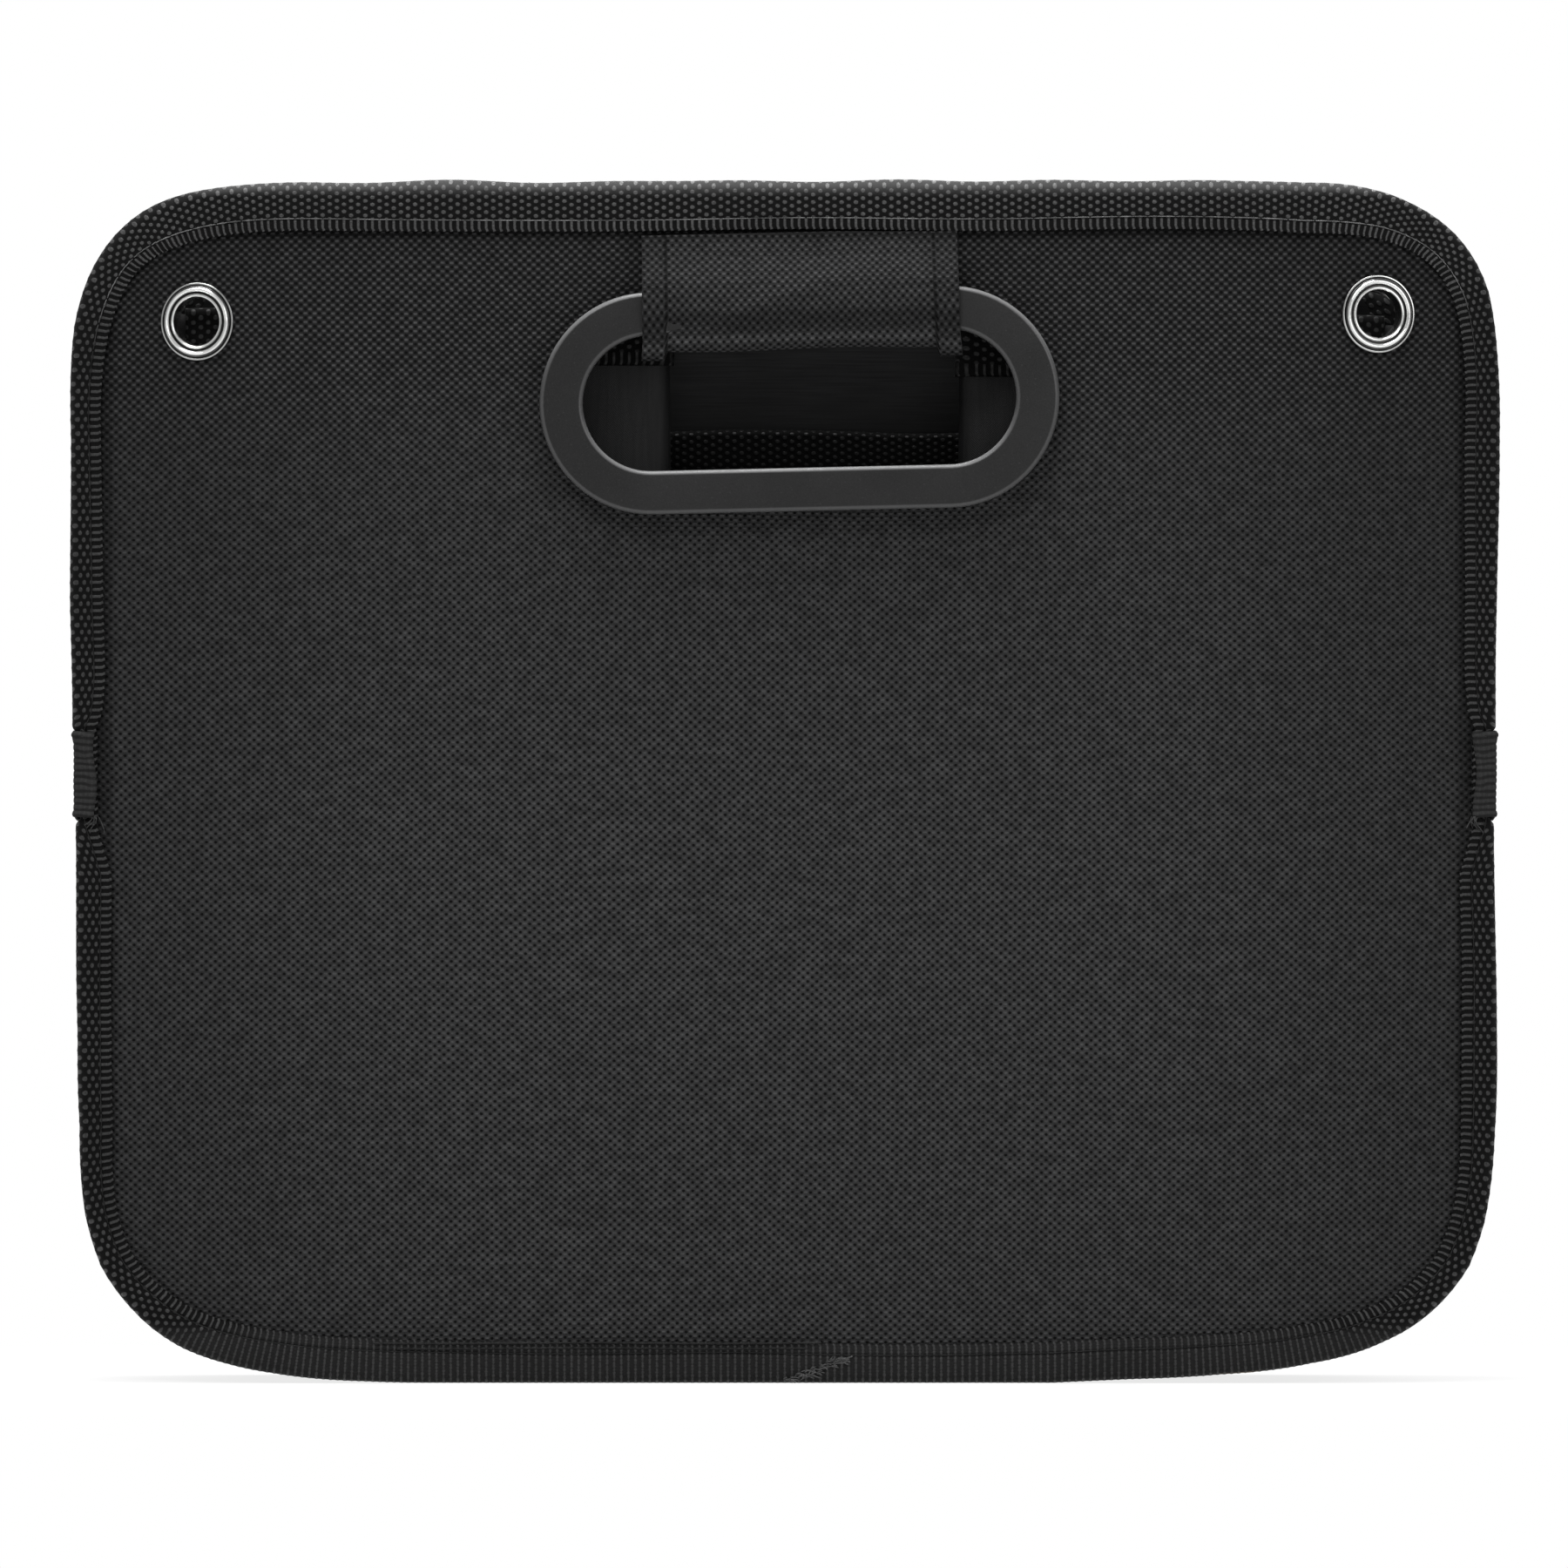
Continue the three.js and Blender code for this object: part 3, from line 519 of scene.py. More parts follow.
def strap_press(x, z):
    """How firmly a side strap holds the panel's edge."""
    low, high = STRAP_BOTTOM - 1.5, STRAP_BOTTOM + STRAP_WIDTH + 1.0
    return smooth(z, low, low + 3) * smooth(-z, -high, 3 - high) * (np.abs(x) > SIDE_STRIP)


# Mesh building

def show(piece, material, body=None, replaced=()):
    """Gives a piece its finish and body, and hides the CAD nodes it stands for."""
    piece.data.materials.append(material)
    if body:
        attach(piece, body)
    if replaced:
        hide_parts(*replaced)


def piece_from(name, bm, flat=False):
    """An object made of a bmesh, which is used up."""
    mesh = bpy.data.meshes.new(name)
    bm.to_mesh(mesh)
    bm.free()
    if not flat:
        mesh.shade_smooth()
    piece = bpy.data.objects.new(name, mesh)
    bpy.context.scene.collection.objects.link(piece)
    return piece


WELD = 2e-6


def shaped_grid(name, across, along, shape, uv_size=(1.0, 1.0), closed=False, capped=False, outwards=None):
    """A grid whose columns and rows are carried onto a surface. shape takes column and row numbers and returns
    x, y and z in millimetres, and may add the pattern's V. closed welds the edges that meet, and capped also
    fills the open ends. outwards is where a sheet's faces look."""
    bm = bmesh.new()
    bmesh.ops.create_grid(bm, x_segments=across, y_segments=along, size=0.5)
    made = piece_from(name, bm)
    mesh = made.data
    flat = np.empty(len(mesh.vertices) * 3, np.float32)
    mesh.vertices.foreach_get("co", flat)
    flat = flat.reshape(-1, 3)[:, :2] + 0.5
    corners = np.empty(len(mesh.loops), np.int32)
    mesh.loops.foreach_get("vertex_index", corners)
    columns = np.rint(flat[:, 0] * across).astype(int)
    rows = np.rint(flat[:, 1] * along).astype(int)
    x, y, z, *along_pattern = shape(columns, rows)
    placed = np.column_stack([x, y, z]) * MM
    mesh.vertices.foreach_set("co", placed.ravel())
    pattern = flat * uv_size
    if along_pattern:
        pattern[:, 1] = along_pattern[0]
    uv = mesh.uv_layers.new(name="UVMap")
    uv.data.foreach_set("uv", pattern[corners].ravel())
    mesh.update()
    if closed or outwards is not None:
        bm = bmesh.new()
        bm.from_mesh(mesh)
        if closed:
            bmesh.ops.remove_doubles(bm, verts=bm.verts, dist=WELD)
            if capped:
                bmesh.ops.holes_fill(bm, edges=[edge for edge in bm.edges if edge.is_boundary], sides=0)
            bmesh.ops.recalc_face_normals(bm, faces=bm.faces)
        elif facing(mesh).dot(Vector(outwards)) < 0:
            bmesh.ops.reverse_faces(bm, faces=bm.faces)
        bm.to_mesh(mesh)
        bm.free()
    return made


def facing(mesh):
    """The way a sheet's faces look on the whole."""
    normals = np.empty(len(mesh.polygons) * 3, np.float32)
    areas = np.empty(len(mesh.polygons), np.float32)
    mesh.polygons.foreach_get("normal", normals)
    mesh.polygons.foreach_get("area", areas)
    return Vector((normals.reshape(-1, 3) * areas[:, None]).sum(0))


def thicken(piece, thickness, offset=-1.0):
    """Gives a sheet its thickness, inwards from its outer face, or to both sides when offset is 0."""
    solidify = piece.modifiers.new("thickness", "SOLIDIFY")
    solidify.thickness = thickness * MM
    solidify.offset = offset
    solidify.use_even_offset = False
    return piece


def settle(piece):
    """Applies a piece's modifiers to its mesh."""
    graph = bpy.context.evaluated_depsgraph_get()
    made = bpy.data.meshes.new_from_object(piece.evaluated_get(graph))
    piece.modifiers.clear()
    old, piece.data = piece.data, made
    made.name = piece.name
    bpy.data.meshes.remove(old)
    return piece


def cut(piece, tools):
    """Cuts holes right through a piece."""
    for tool in tools:
        knife = piece.modifiers.new("hole", "BOOLEAN")
        knife.operation = "DIFFERENCE"
        knife.solver = "EXACT"
        knife.object = tool
    return settle(piece)


def tilted(x, z, middle=(HANDLE_X, HANDLE_Z)):
    """A point of the handle, drawn level about its middle and then tilted."""
    turn = math.radians(HANDLE_TILT)
    return (middle[0] + x * math.cos(turn) - z * math.sin(turn),
            middle[1] + x * math.sin(turn) + z * math.cos(turn))


def stadium(width, height, count):
    """A closed loop of points round a level stadium, as even as possible, and its outward directions."""
    radius = height / 2
    straight = width / 2 - radius
    turn = np.linspace(-math.pi / 2, math.pi / 2, 33)
    right = np.column_stack([straight + radius * np.cos(turn), radius * np.sin(turn)])
    loop = evenly(np.concatenate([right, -right, right[:1]]), count + 1)
    core = np.column_stack([np.clip(loop[:, 0], -straight, straight), 0 * loop[:, 1]])
    return core, (loop - core) / radius


# Panels: outer canvas and inner lining, stretched over the board

def hole_tools(side):
    """A long plug that cuts the hand hole and two round ones for the eyelets."""
    far, length, eyelet_depth, eyelet_length = 50.0 * MM, 45.0 * MM, 22.0 * MM, 30.0 * MM
    bm = bmesh.new()
    bmesh.ops.create_circle(bm, cap_ends=True, segments=96, radius=1.0)
    width, height = HAND_HOLE
    for vertex in bm.verts:
        x, z = vertex.co.x * height / 2, vertex.co.y * height / 2
        if abs(x) > 0.001:
            x += math.copysign((width - height) / 2, x)
        x, z = tilted(x, z)
        vertex.co = (x * MM, far * side, z * MM)
    grown = bmesh.ops.extrude_face_region(bm, geom=bm.faces[:])
    moved = [item for item in grown["geom"] if isinstance(item, bmesh.types.BMVert)]
    bmesh.ops.translate(bm, verts=moved, vec=(0, -length * side, 0))
    bmesh.ops.recalc_face_normals(bm, faces=bm.faces)
    tools = [piece_from("hand_hole_tool", bm, flat=True)]
    for x, z in EYELETS.values():
        bm = bmesh.new()
        spot = Matrix.Translation((x * MM, side * eyelet_depth, z * MM)) @ Matrix.Rotation(math.pi / 2, 4, "X")
        bmesh.ops.create_cone(bm, cap_ends=True, segments=48, radius1=EYELET_HOLE * MM, radius2=EYELET_HOLE * MM,
                              depth=eyelet_length, matrix=spot)
        tools.append(piece_from("eyelet_hole_tool", bm, flat=True))
    return tools


def end_rows(length, step, fine):
    """Places along a length that come closer together at both ends."""
    near = np.cumsum([0.0] + [fine * 1.5 ** k for k in range(20) if fine * 1.5 ** k < step])
    inner = np.arange(near[-1] + step, length / 2, step)
    half = np.concatenate([near, inner])
    return np.concatenate([half, length - half[::-1]])


def outline_sheet(name, side, outline, columns, step, fine, thickness, depth):
    """A sheet that fills an outline, with its rows step apart and fine apart at both ends. depth works out y from
    x and z."""
    half = outline[:len(outline) // 2 + 1]
    low, high = half[0, 1], half[-1, 1]
    rows = low + end_rows(high - low, step, fine)
    wide = np.maximum(np.interp(rows, half[:, 1], half[:, 0]), half[1, 0])

    def shape(column, row):
        z = rows[row]
        x = (2 * column / columns - 1) * wide[row]
        return x, depth(x, z), z

    sheet = shaped_grid(name, columns, len(rows) - 1, shape, outwards=(0, side, 0))
    return thicken(sheet, thickness)


PANEL_SHEET_INSET = 2.2


def panel_sheet(name, side, depth, step, relief, thickness):
    """A sheet of the panel's outline at a depth from the middle plane, with its holes cut."""
    sheet = outline_sheet(name, side, rim((PANEL_SHEET_INSET,) * 3), int(2 * PANEL_HALF / step), step, 0.25,
                          thickness, lambda x, z: side * (depth - bow(x) + relief(x, z)))
    tools = hole_tools(side)
    cut(sheet, tools)
    for tool in tools:
        bpy.data.objects.remove(tool)
    return sheet


def canvas_relief(side):
    """How the canvas puckers round its eyelets and sinks beside the hand hole and under the straps."""
    def relief(x, z):
        out = 0.16 * unevenness(x, z, 95.0, 11 + side)
        out = out + 0.05 * unevenness(x, z, 22.0, 31 + side)
        for (eye_x, eye_z), lean in zip(EYELETS.values(), (0.4, -0.4)):
            away = np.hypot(x - eye_x, z - eye_z)
            turn = np.arctan2(z - eye_z, x - eye_x)
            out = out - 0.45 * bell(away, 9.0, 4.0) * smooth(away, 4, 9)
            rings = np.cos((away - 10.0) * 2 * math.pi / 3.1) * bell(away, 13.0, 4.2)
            out = out + 0.24 * rings * (0.55 + 0.45 * np.cos(turn - lean))
        straight = (HAND_HOLE[0] - HAND_HOLE[1]) / 2
        hand = np.hypot(np.maximum(np.abs(x - HANDLE_X) - straight, 0), z - HANDLE_Z)
        out = out - 0.25 * bell(hand, 21.0, 5.0)
        out = out - 0.55 * bell(np.abs(x), 172.5, 2.2) * strap_press(x, z)
        return np.clip(out, -0.8, 0.45)
    return relief


def lining_relief(x, z):
    """The lining's slight waviness."""
    return 0.12 * unevenness(x, z, 60.0, 71)


for name, side in PANELS.items():
    canvas = panel_sheet(f"{name}_canvas", side, CLOTH_FRONT, 2.4, canvas_relief(side), 0.6)
    show(canvas, panel_canvas, "root", [f"{name}_panel_fabric"])
    lining = panel_sheet(f"{name}_lining", side, LINING_BACK + 0.5, 6.0, lining_relief, 0.5)
    show(lining, lining_cloth, "root", [f"{name}_panel_lining"])


# Binding tape, folded over an edge

class Binding:
    """The run of a binding tape round an outline, counted in stations. widths holds its width along the top, the
    sides and the bottom."""

    def __init__(self, outline, stations, widths):
        self.points = evenly(outline, stations + 1)
        ahead = np.roll(self.points[:-1], -1, axis=0)
        behind = np.roll(self.points[:-1], 1, axis=0)
        run = units(ahead - behind)
        self.run = np.concatenate([run, run[:1]])
        top, side, bottom = widths
        level = self.run[:, 0]
        self.width = side + (np.where(level < 0, top, bottom) - side) * np.abs(level) ** 1.5

    def at(self, station, inset):
        return beside(self.points, self.run, station, inset)


ROUND_ROWS, RIB_STATIONS = 8, 3
RIBBED_BELOW, UNEVEN_ABOVE = 13.0, 150.0


def tape_section(front, back, rounding, rows_front, rows_back):
    """Points round a folded tape's closed section, from the front inner edge: share of the way from the rounded
    outer edge to the inner edge, inset where that share is none, and depth."""
    points = [(share, rounding, front) for share in np.linspace(1.0, 0.0, rows_front + 1)[:-1]]
    middle, reach = (front + back) / 2, (front - back) / 2
    for turn in np.linspace(0, math.pi, ROUND_ROWS + 1):
        points.append((0.0, rounding * (1 - math.sin(turn)), middle + reach * math.cos(turn)))
    points += [(share, rounding, back) for share in np.linspace(0.0, 1.0, rows_back + 1)[1:]]
    inner = rounding + TAPE
    points += [(1.0, inner, back + TAPE * 0.55), (0.95, inner, back + TAPE), (0.0, inner, back + TAPE),
               (0.0, rounding * 0.7 + TAPE, middle), (0.0, inner, front - TAPE), (0.95, inner, front - TAPE),
               (1.0, inner, front - TAPE * 0.55), points[0]]
    return np.array(points)


def unchanged(x, z):
    """No change of a tape anywhere."""
    return 0.0 * x


def bound_edge(name, side, binding, front, back, rounding, rows, grain, sway=unchanged, waist=unchanged,
               fullness=unchanged):
    """A woven tape folded over an edge, its grains and ribs standing out of it. sway changes its width, waist
    draws its outer edge in, and fullness moves it outwards."""
    stations = len(binding.points) - 1
    section = tape_section(front, back, rounding, *rows)
    turned = rows[0] + ROUND_ROWS

    def shape(station, point):
        share, offset, depth = section[point].T
        where_x, where_z = binding.points[station].T
        round_edge = (point > rows[0]) & (point < turned)
        outer = point <= turned + rows[1]
        phase = 2 * math.pi * station / RIB_STATIONS
        width = binding.width[station] + sway(where_x, where_z)
        inset = share * width + (1 - share) * offset
        past = width - rounding + (point - rows[0]) * GRAIN_ROW / 2
        row = np.where(point <= rows[0], width - inset, past) / GRAIN_ROW
        grains = np.cos(phase / 2) * np.cos(math.pi * row) + 0.35 * np.cos(phase)
        ribs = np.cos(phase + 1.1 * smooth(-row, -0.9, 0))
        ribbed = (row < SELVEDGE) | (where_z < RIBBED_BELOW)
        plump = np.where(ribbed, ribs, 1.2 * np.maximum(grains, -0.1)) * grain * outer
        plump = plump - 0.25 * bell(row, SELVEDGE + 0.2, 0.35)
        wave = 0.28 * unevenness(where_x, where_z, 34.0, 5 + side)
        wave = wave + 0.3 * unevenness(where_x, where_z, 120.0, 6 + side)
        wave = wave * (where_z > UNEVEN_ABOVE)
        inset = inset + (wave + waist(where_x, where_z)) * np.maximum(0.0, 1 - inset / 8.0)
        inset = inset - 0.4 * plump * round_edge + 0.12 * (point == 0) * np.cos(phase)
        x, z = binding.at(station, inset - fullness(where_x, where_z))
        lift = np.where(point <= rows[0], 0.35 * np.sin(math.pi * share) + plump, 0.0)
        lift = lift - np.where((point >= turned) & outer, plump, 0.0)
        lift = lift - 0.45 * strap_press(where_x, where_z) * (point <= rows[0])
        y = side * (depth + lift)
        return x, (y - side * bow(x) if front * back > 0 else bent(x, y)), z, row

    return shaped_grid(name, stations, len(section) - 1, shape, uv_size=(stations / RIB_STATIONS, 1.0),
                       closed=True)


def panel_sway(x, z):
    """Small changes of the tape's width along its run: narrow at the straps, wide just below them."""
    side = np.interp(z, [60, 110, 128, 141, 165, 169, 178], [0, 0.5, 0.9, -2.7, -2.5, -0.8, 0])
    return 0.3 * unevenness(x, z, 70.0, 91) + side * (np.abs(x) > SIDE_STRIP)


OUTLINE_TURNS = [-180, -166, -160, -154, -148, -144.5, -141, -137, -134, -131, -125, -66, -60, -54, -48, -43, -39,
                 -35.5, -32.4, -26.4, -13.6, 0, 14, 26, 31, 35, 39, 44, 49, 55, 130, 136, 141, 147, 154, 166, 180]
OUTLINE_FULLER = [1.2, 0.9, 0.6, 0.9, 3.0, 3.5, 2.6, 2.0, 1.1, 0.5, 0, 0, -0.9, -1.5, -1.2, 0.2, 2.0,
                  3.6, 3.5, 2.3, 1.5, 1.0, 1.2, 0.9, 1.5, 2.2, 1.7, 1.3, -0.2, 0, 0, 0.4, 0.9, 1.5, 1.1, 1.7, 1.2]


def fuller_outline(x, z):
    """How far the tape stands out past the board's outline, by its direction from the panel's middle."""
    return np.interp(np.degrees(np.arctan2(z - PANEL_HEIGHT / 2, x)), OUTLINE_TURNS, OUTLINE_FULLER)


def strap_waist(x, z):
    """The tape's outer edge is drawn in where a strap crosses it."""
    low = smooth(z, 95.0, 140.0) * (z < STRAP_BOTTOM + 3) * (np.abs(x) > SIDE_STRIP)
    return 2.4 * strap_press(x, z) + 0.5 * low * (1 - strap_press(x, z))


panel_edge = Binding(rim(), 2058, (12.5, 8.6, 10.5))
for name, side in PANELS.items():
    tape = bound_edge(f"{name}_binding", side, panel_edge, FACE, PANEL_BACK, 2.2, (26, 6), 0.17, panel_sway,
                      strap_waist, fuller_outline)
    show(tape, binding_webbing, "root", [f"{name}_panel_binding"])

divider_inset = (0.0, DIVIDER_INSET, DIVIDER_FOOT)
divider_edge = Binding(rim(divider_inset, DIVIDER_TOP, DIVIDER_CORNER), 1830, (12.5, 8.5, 10.5))
divider_tape = bound_edge("divider_tape", FRONT, divider_edge, 3.3, -3.3, 1.2, (24, 12), 0.12)
show(divider_tape, divider_webbing_painted_shade, "root", ["divider_binding"])


# Divider covers

cover_rim = rim((1.5, DIVIDER_INSET + 1.5, DIVIDER_FOOT + 1.5), DIVIDER_TOP, DIVIDER_CORNER)
for name, side in PANELS.items():
    cover = outline_sheet(f"divider_{name}_lining", side, cover_rim, 60, 6.0, 0.3, 0.5,
                          lambda x, z: bent(x, side * 1.8))
    show(cover, lining_cloth, "root", [f"divider_{name}_cover"])


# Gussets: side walls and floor, pleated inwards

WALL_ENDS, FLOOR_ENDS = (4.0, 5.5), (4.0, 7.5)


def pleat_route(reach, start, end):
    """A pleat seen from its end: distance from the edge, and distance from the middle plane."""
    fold, half_cloth = 3.2, 0.8
    bend = reach - fold - half_cloth
    route = [(start, 22.7), (15.0, 22.7), (19.0, 21.8), (26.0, 18.9), (34.0, 18.3)]
    turn = np.linspace(math.pi / 2, -math.pi / 2, 13)
    route += list(zip(bend + fold * np.cos(turn), 13.7 + fold * np.sin(turn)))
    route += [(34.0, 10.4), (29.5, 9.6), (22.5, 4.8), (19.0, 4.4), (end, 4.4)]
    return np.array(route)


def cut_route(route, start, end):
    """The part of a pleat's route from a distance on the outer ply to one on the inner ply."""
    fold = int(np.argmax(route[:, 0]))
    outer = route[:fold + 1]
    inner = route[fold:]
    first = [(start, np.interp(start, outer[:, 0], outer[:, 1]))]
    last = [(end, np.interp(end, inner[::-1, 0], inner[::-1, 1]))]
    return np.array(first + [p for p in outer if p[0] > start] + [p for p in inner[1:] if p[0] > end] + last)


def gusset(name, side):
    """One compartment's side walls and floor in one piece. Its columns run inwards along the pleats, and its rows
    from the left wall's top down, along the floor and up the right wall."""
    across = 110
    routes = {sideways: evenly(pleat_route(reach, *WALL_ENDS), across + 1) for sideways, reach in PLEATS.items()}
    floor = evenly(pleat_route(FLOOR_PLEAT, *FLOOR_ENDS), across + 1)
    wall_count, turn_count, floor_count = 44, 10, 56
    along = 2 * wall_count + 2 * turn_count + floor_count

    def shape(column, row):
        x, y, z = np.zeros((3, len(column)))
        for q in range(across + 1):
            t_left, d_left = routes[LEFT][q]
            t_right, d_right = routes[RIGHT][q]
            t_floor, d_floor = floor[q]
            left, right = -PANEL_HALF + t_left, PANEL_HALF - t_right
            ease = (1 - t_floor / FLOOR_PLEAT) ** 1.3
            radius = min(3.0 + 62.0 * ease, (right - left) / 2 - 1)
            turn = np.linspace(0, math.pi / 2, turn_count + 1)
            foot_left = left + PANEL_TAPER + radius
            foot_right = right - PANEL_TAPER - radius
            bend = t_floor + radius
            walk = np.concatenate([
                np.linspace((left, WALL_TOPS[LEFT]), (left + PANEL_TAPER, bend), wall_count + 1),
                np.column_stack([foot_left - radius * np.cos(turn), bend - radius * np.sin(turn)])[1:],
                np.linspace((foot_left, t_floor), (foot_right, t_floor), floor_count + 1)[1:],
                np.column_stack([foot_right + radius * np.sin(turn), bend - radius * np.cos(turn)])[1:],
                np.linspace((right - PANEL_TAPER, bend), (right, WALL_TOPS[RIGHT]), wall_count + 1)[1:]])
            share = np.interp(np.arange(along + 1), [0, wall_count, along - wall_count, along], [0, 0, 1, 1])
            ends = np.clip(np.abs(share - 0.5) * 2, 0, 1)
            depth = d_floor * (1 - ends) + np.where(share < 0.5, d_left, d_right) * ends
            here = column == q
            x[here] = walk[row[here], 0]
            z[here] = walk[row[here], 1]
            free = smooth(min(t_left, t_floor), 24, 45)
            soft = 0.45 * free * unevenness(x[here], z[here] + 3 * q, 42.0, 51 + side)
            y[here] = side * (depth[row[here]] + soft)
        return x, bent(x, y), z

    return thicken(shaped_grid(name, across, along, shape, uv_size=(0.3, 0.6)), 1.2, offset=0.0)


for name, side in PANELS.items():
    walls = gusset(f"{name}_walls_and_floor", side)
    show(walls, gusset_cloth, "root", [f"{name}_gusset"])


# How far each wall's top edge stands up behind an eyelet, so that the eyelet looks onto cloth
EYELET_RISE = {(FRONT, LEFT): 0.5, (FRONT, RIGHT): 1.5, (REAR, LEFT): 5.5, (REAR, RIGHT): 8.5}
EYELET_IN = 33.0
WALL_TAPE_START, WALL_TAPE_END = {FRONT: 28.0, REAR: 21.0}, 35.2
WALL_TAPE_HALF, WALL_TAPE_WIDTH, WALL_TAPE_ROWS = 1.9, 13.0, 22


def wall_binding(name, side, sideways):
    """Tape over the top edge of a folded side wall."""
    top, half = WALL_TOPS[sideways], WALL_TAPE_HALF
    low, bend = top - WALL_TAPE_WIDTH, top - 0.6
    route = cut_route(pleat_route(PLEATS[sideways], *WALL_ENDS), WALL_TAPE_START[side], WALL_TAPE_END)
    stations = RIB_STATIONS * int(np.linalg.norm(np.diff(route, axis=0), axis=1).sum() / 1.93)
    line = evenly(route, stations + 1)
    run = units(np.gradient(line, axis=0))
    ring = [(half, z) for z in np.linspace(low, bend, WALL_TAPE_ROWS)]
    ring += [(half * math.cos(a), bend + half * math.sin(a)) for a in np.linspace(0, math.pi, 7)[1:-1]]
    ring += [(-half, z) for z in np.linspace(bend, low, WALL_TAPE_ROWS)]
    outer = len(ring)
    ring += [(-half + 0.5, low), (-half + 0.9, low + 1.0), (-half + 0.9, top - 1.5), (0.0, top - 0.5),
             (half - 0.9, top - 1.5), (half - 0.9, low + 1.0), (half - 0.5, low), (half, low)]
    ring = np.array(ring)

    def shape(station, point):
        off, z = ring[point].T
        plump = 0.16 * np.cos(math.pi * station / RIB_STATIONS) * np.cos(math.pi * point / 2) * (point < outer)
        t, d = beside(line, run, station, off + np.sign(off) * plump)
        x = sideways * (PANEL_HALF - t)
        sag = 0.5 * unevenness(t, d * 4, 50.0, 17 + side)
        sag = sag + EYELET_RISE[side, sideways] * bell(t, EYELET_IN, 13.0) * (d > 13.7)
        return x, bent(x, side * d), z + sag * smooth(z, low - 1, low + 4)

    rows = len(ring) - 1
    return shaped_grid(name, stations, rows, shape, uv_size=(stations / RIB_STATIONS, rows / 2), closed=True,
                       capped=True)


for name, side in PANELS.items():
    for hand, sideways in HANDS.items():
        tape = wall_binding(f"{name}_{hand}_wall_tape", side, sideways)
        show(tape, inner_webbing_painted_shade, "root", [f"{name}_{hand}_wall_binding"])


# Handles: a moulded ring in a folded canvas tab

def ring_section():
    """Offset outwards and depth of each point round the ring's bar, with rounded edges."""
    half_bar, half_depth, edge = RING_BAR / 2, RING_THICKNESS / 2, RING_EDGE
    points = []
    for corner_x, corner_y, start in ((1, 1, 0), (-1, 1, 90), (-1, -1, 180), (1, -1, 270)):
        for turn in np.radians(np.linspace(start, start + 90, 6)):
            points.append((corner_x * (half_bar - edge) + edge * math.cos(turn),
                           corner_y * (half_depth - edge) + edge * math.sin(turn)))
    points.append(points[0])
    return np.array(points)


def carrying_ring(name, side):
    """The stadium-shaped ring that a hand holds."""
    count = 288
    core, outward = stadium(RING_WIDTH - RING_BAR, RING_HEIGHT - RING_BAR, count)
    radius = (RING_HEIGHT - RING_BAR) / 2
    section = ring_section()

    def shape(station, point):
        off, depth = section[point].T
        x = core[station, 0] + outward[station, 0] * (radius + off)
        z = core[station, 1] + outward[station, 1] * (radius + off)
        x, z = tilted(x, z)
        return x, side * (RING_BACK + RING_THICKNESS / 2 + depth), z

    return shaped_grid(name, count, len(section) - 1, shape, uv_size=(1.0, len(section) - 1), closed=True)


def tab_route():
    """The tab seen from its end, down the front, round the bar and up the back: height and depth."""
    front = RING_BACK + RING_THICKNESS + 1.4
    drop = [(290.0, 31.0), (287.0, 31.3), (284.0, 32.3), (280.5, 34.6), (277.5, 36.2), (274.0, front),
            (270.0, front - 0.2), (267.2, front - 1.0), (265.9, front - 1.1), (265.0, front - 0.5),
            (264.4, front - 0.6)]
    turn = np.radians(np.linspace(0, 180, 13))[1:-1]
    near, far = front - 0.8, TAB_BACK + 0.1
    fold = [(263.6 - 3.2 * math.sin(a), (near + far) / 2 + (near - far) / 2 * math.cos(a)) for a in turn]
    rise = [(264.5, far), (272.0, TAB_BACK), (281.0, TAB_BACK), (290.0, TAB_BACK)]
    return np.array(drop + fold + rise)


def tab(name, side):
    """The canvas strip round a ring's bar: hemmed at both sides, creased, and hanging lower at its hems."""
    along, across = 110, 100
    line = evenly(tab_route(), along + 1)

    def shape(column, row):
        u = 2 * column / across - 1
        z, d = line[row].T
        half = TAB_WIDTH / 2 - 0.25 * smooth(z, 262, 290) + 0.4 * smooth(266 - z, 0, 6)
        x = u * half
        front_ply = row < along * 0.5
        hem = smooth(np.abs(x), half - HEM - 0.1, half - HEM + 0.6)
        seam = bell(np.abs(x), half - HEM, 0.55)
        crease = bell(z - 277.0, (x - 2.0) * 0.42, 3.0) * smooth(-np.abs(x), -38, -24)
        second = bell(z - 270.5, (x + 14.0) * 0.30, 2.4) * smooth(-np.abs(x), -34, -16)
        soft = 0.22 * unevenness(x, z, 26.0, 41 + side) + 0.45 * crease + 0.3 * second - 0.10
        d = d + np.where(front_ply, (0.32 * hem - 0.35 * seam + soft) * smooth(290 - z, 0, 6), -0.05 * hem)
        hang = 2.2 * smooth(np.abs(x), half - HEM - 0.5, half - HEM + 0.4) * smooth(274 - z, 0, 9)
        wave = 0.25 * np.sin(x * 0.11 + 0.6) * smooth(268 - z, 0, 8)
        x, z = tilted(x, z - HANDLE_Z + wave - hang, (TAB_X, HANDLE_Z))
        return x, side * d, np.minimum(z, TAB_TOP)

    made = shaped_grid(name, across, along, shape, uv_size=(TAB_WIDTH * MM, 0.066), outwards=(0, 0, -1))
    return settle(thicken(made, 0.9))


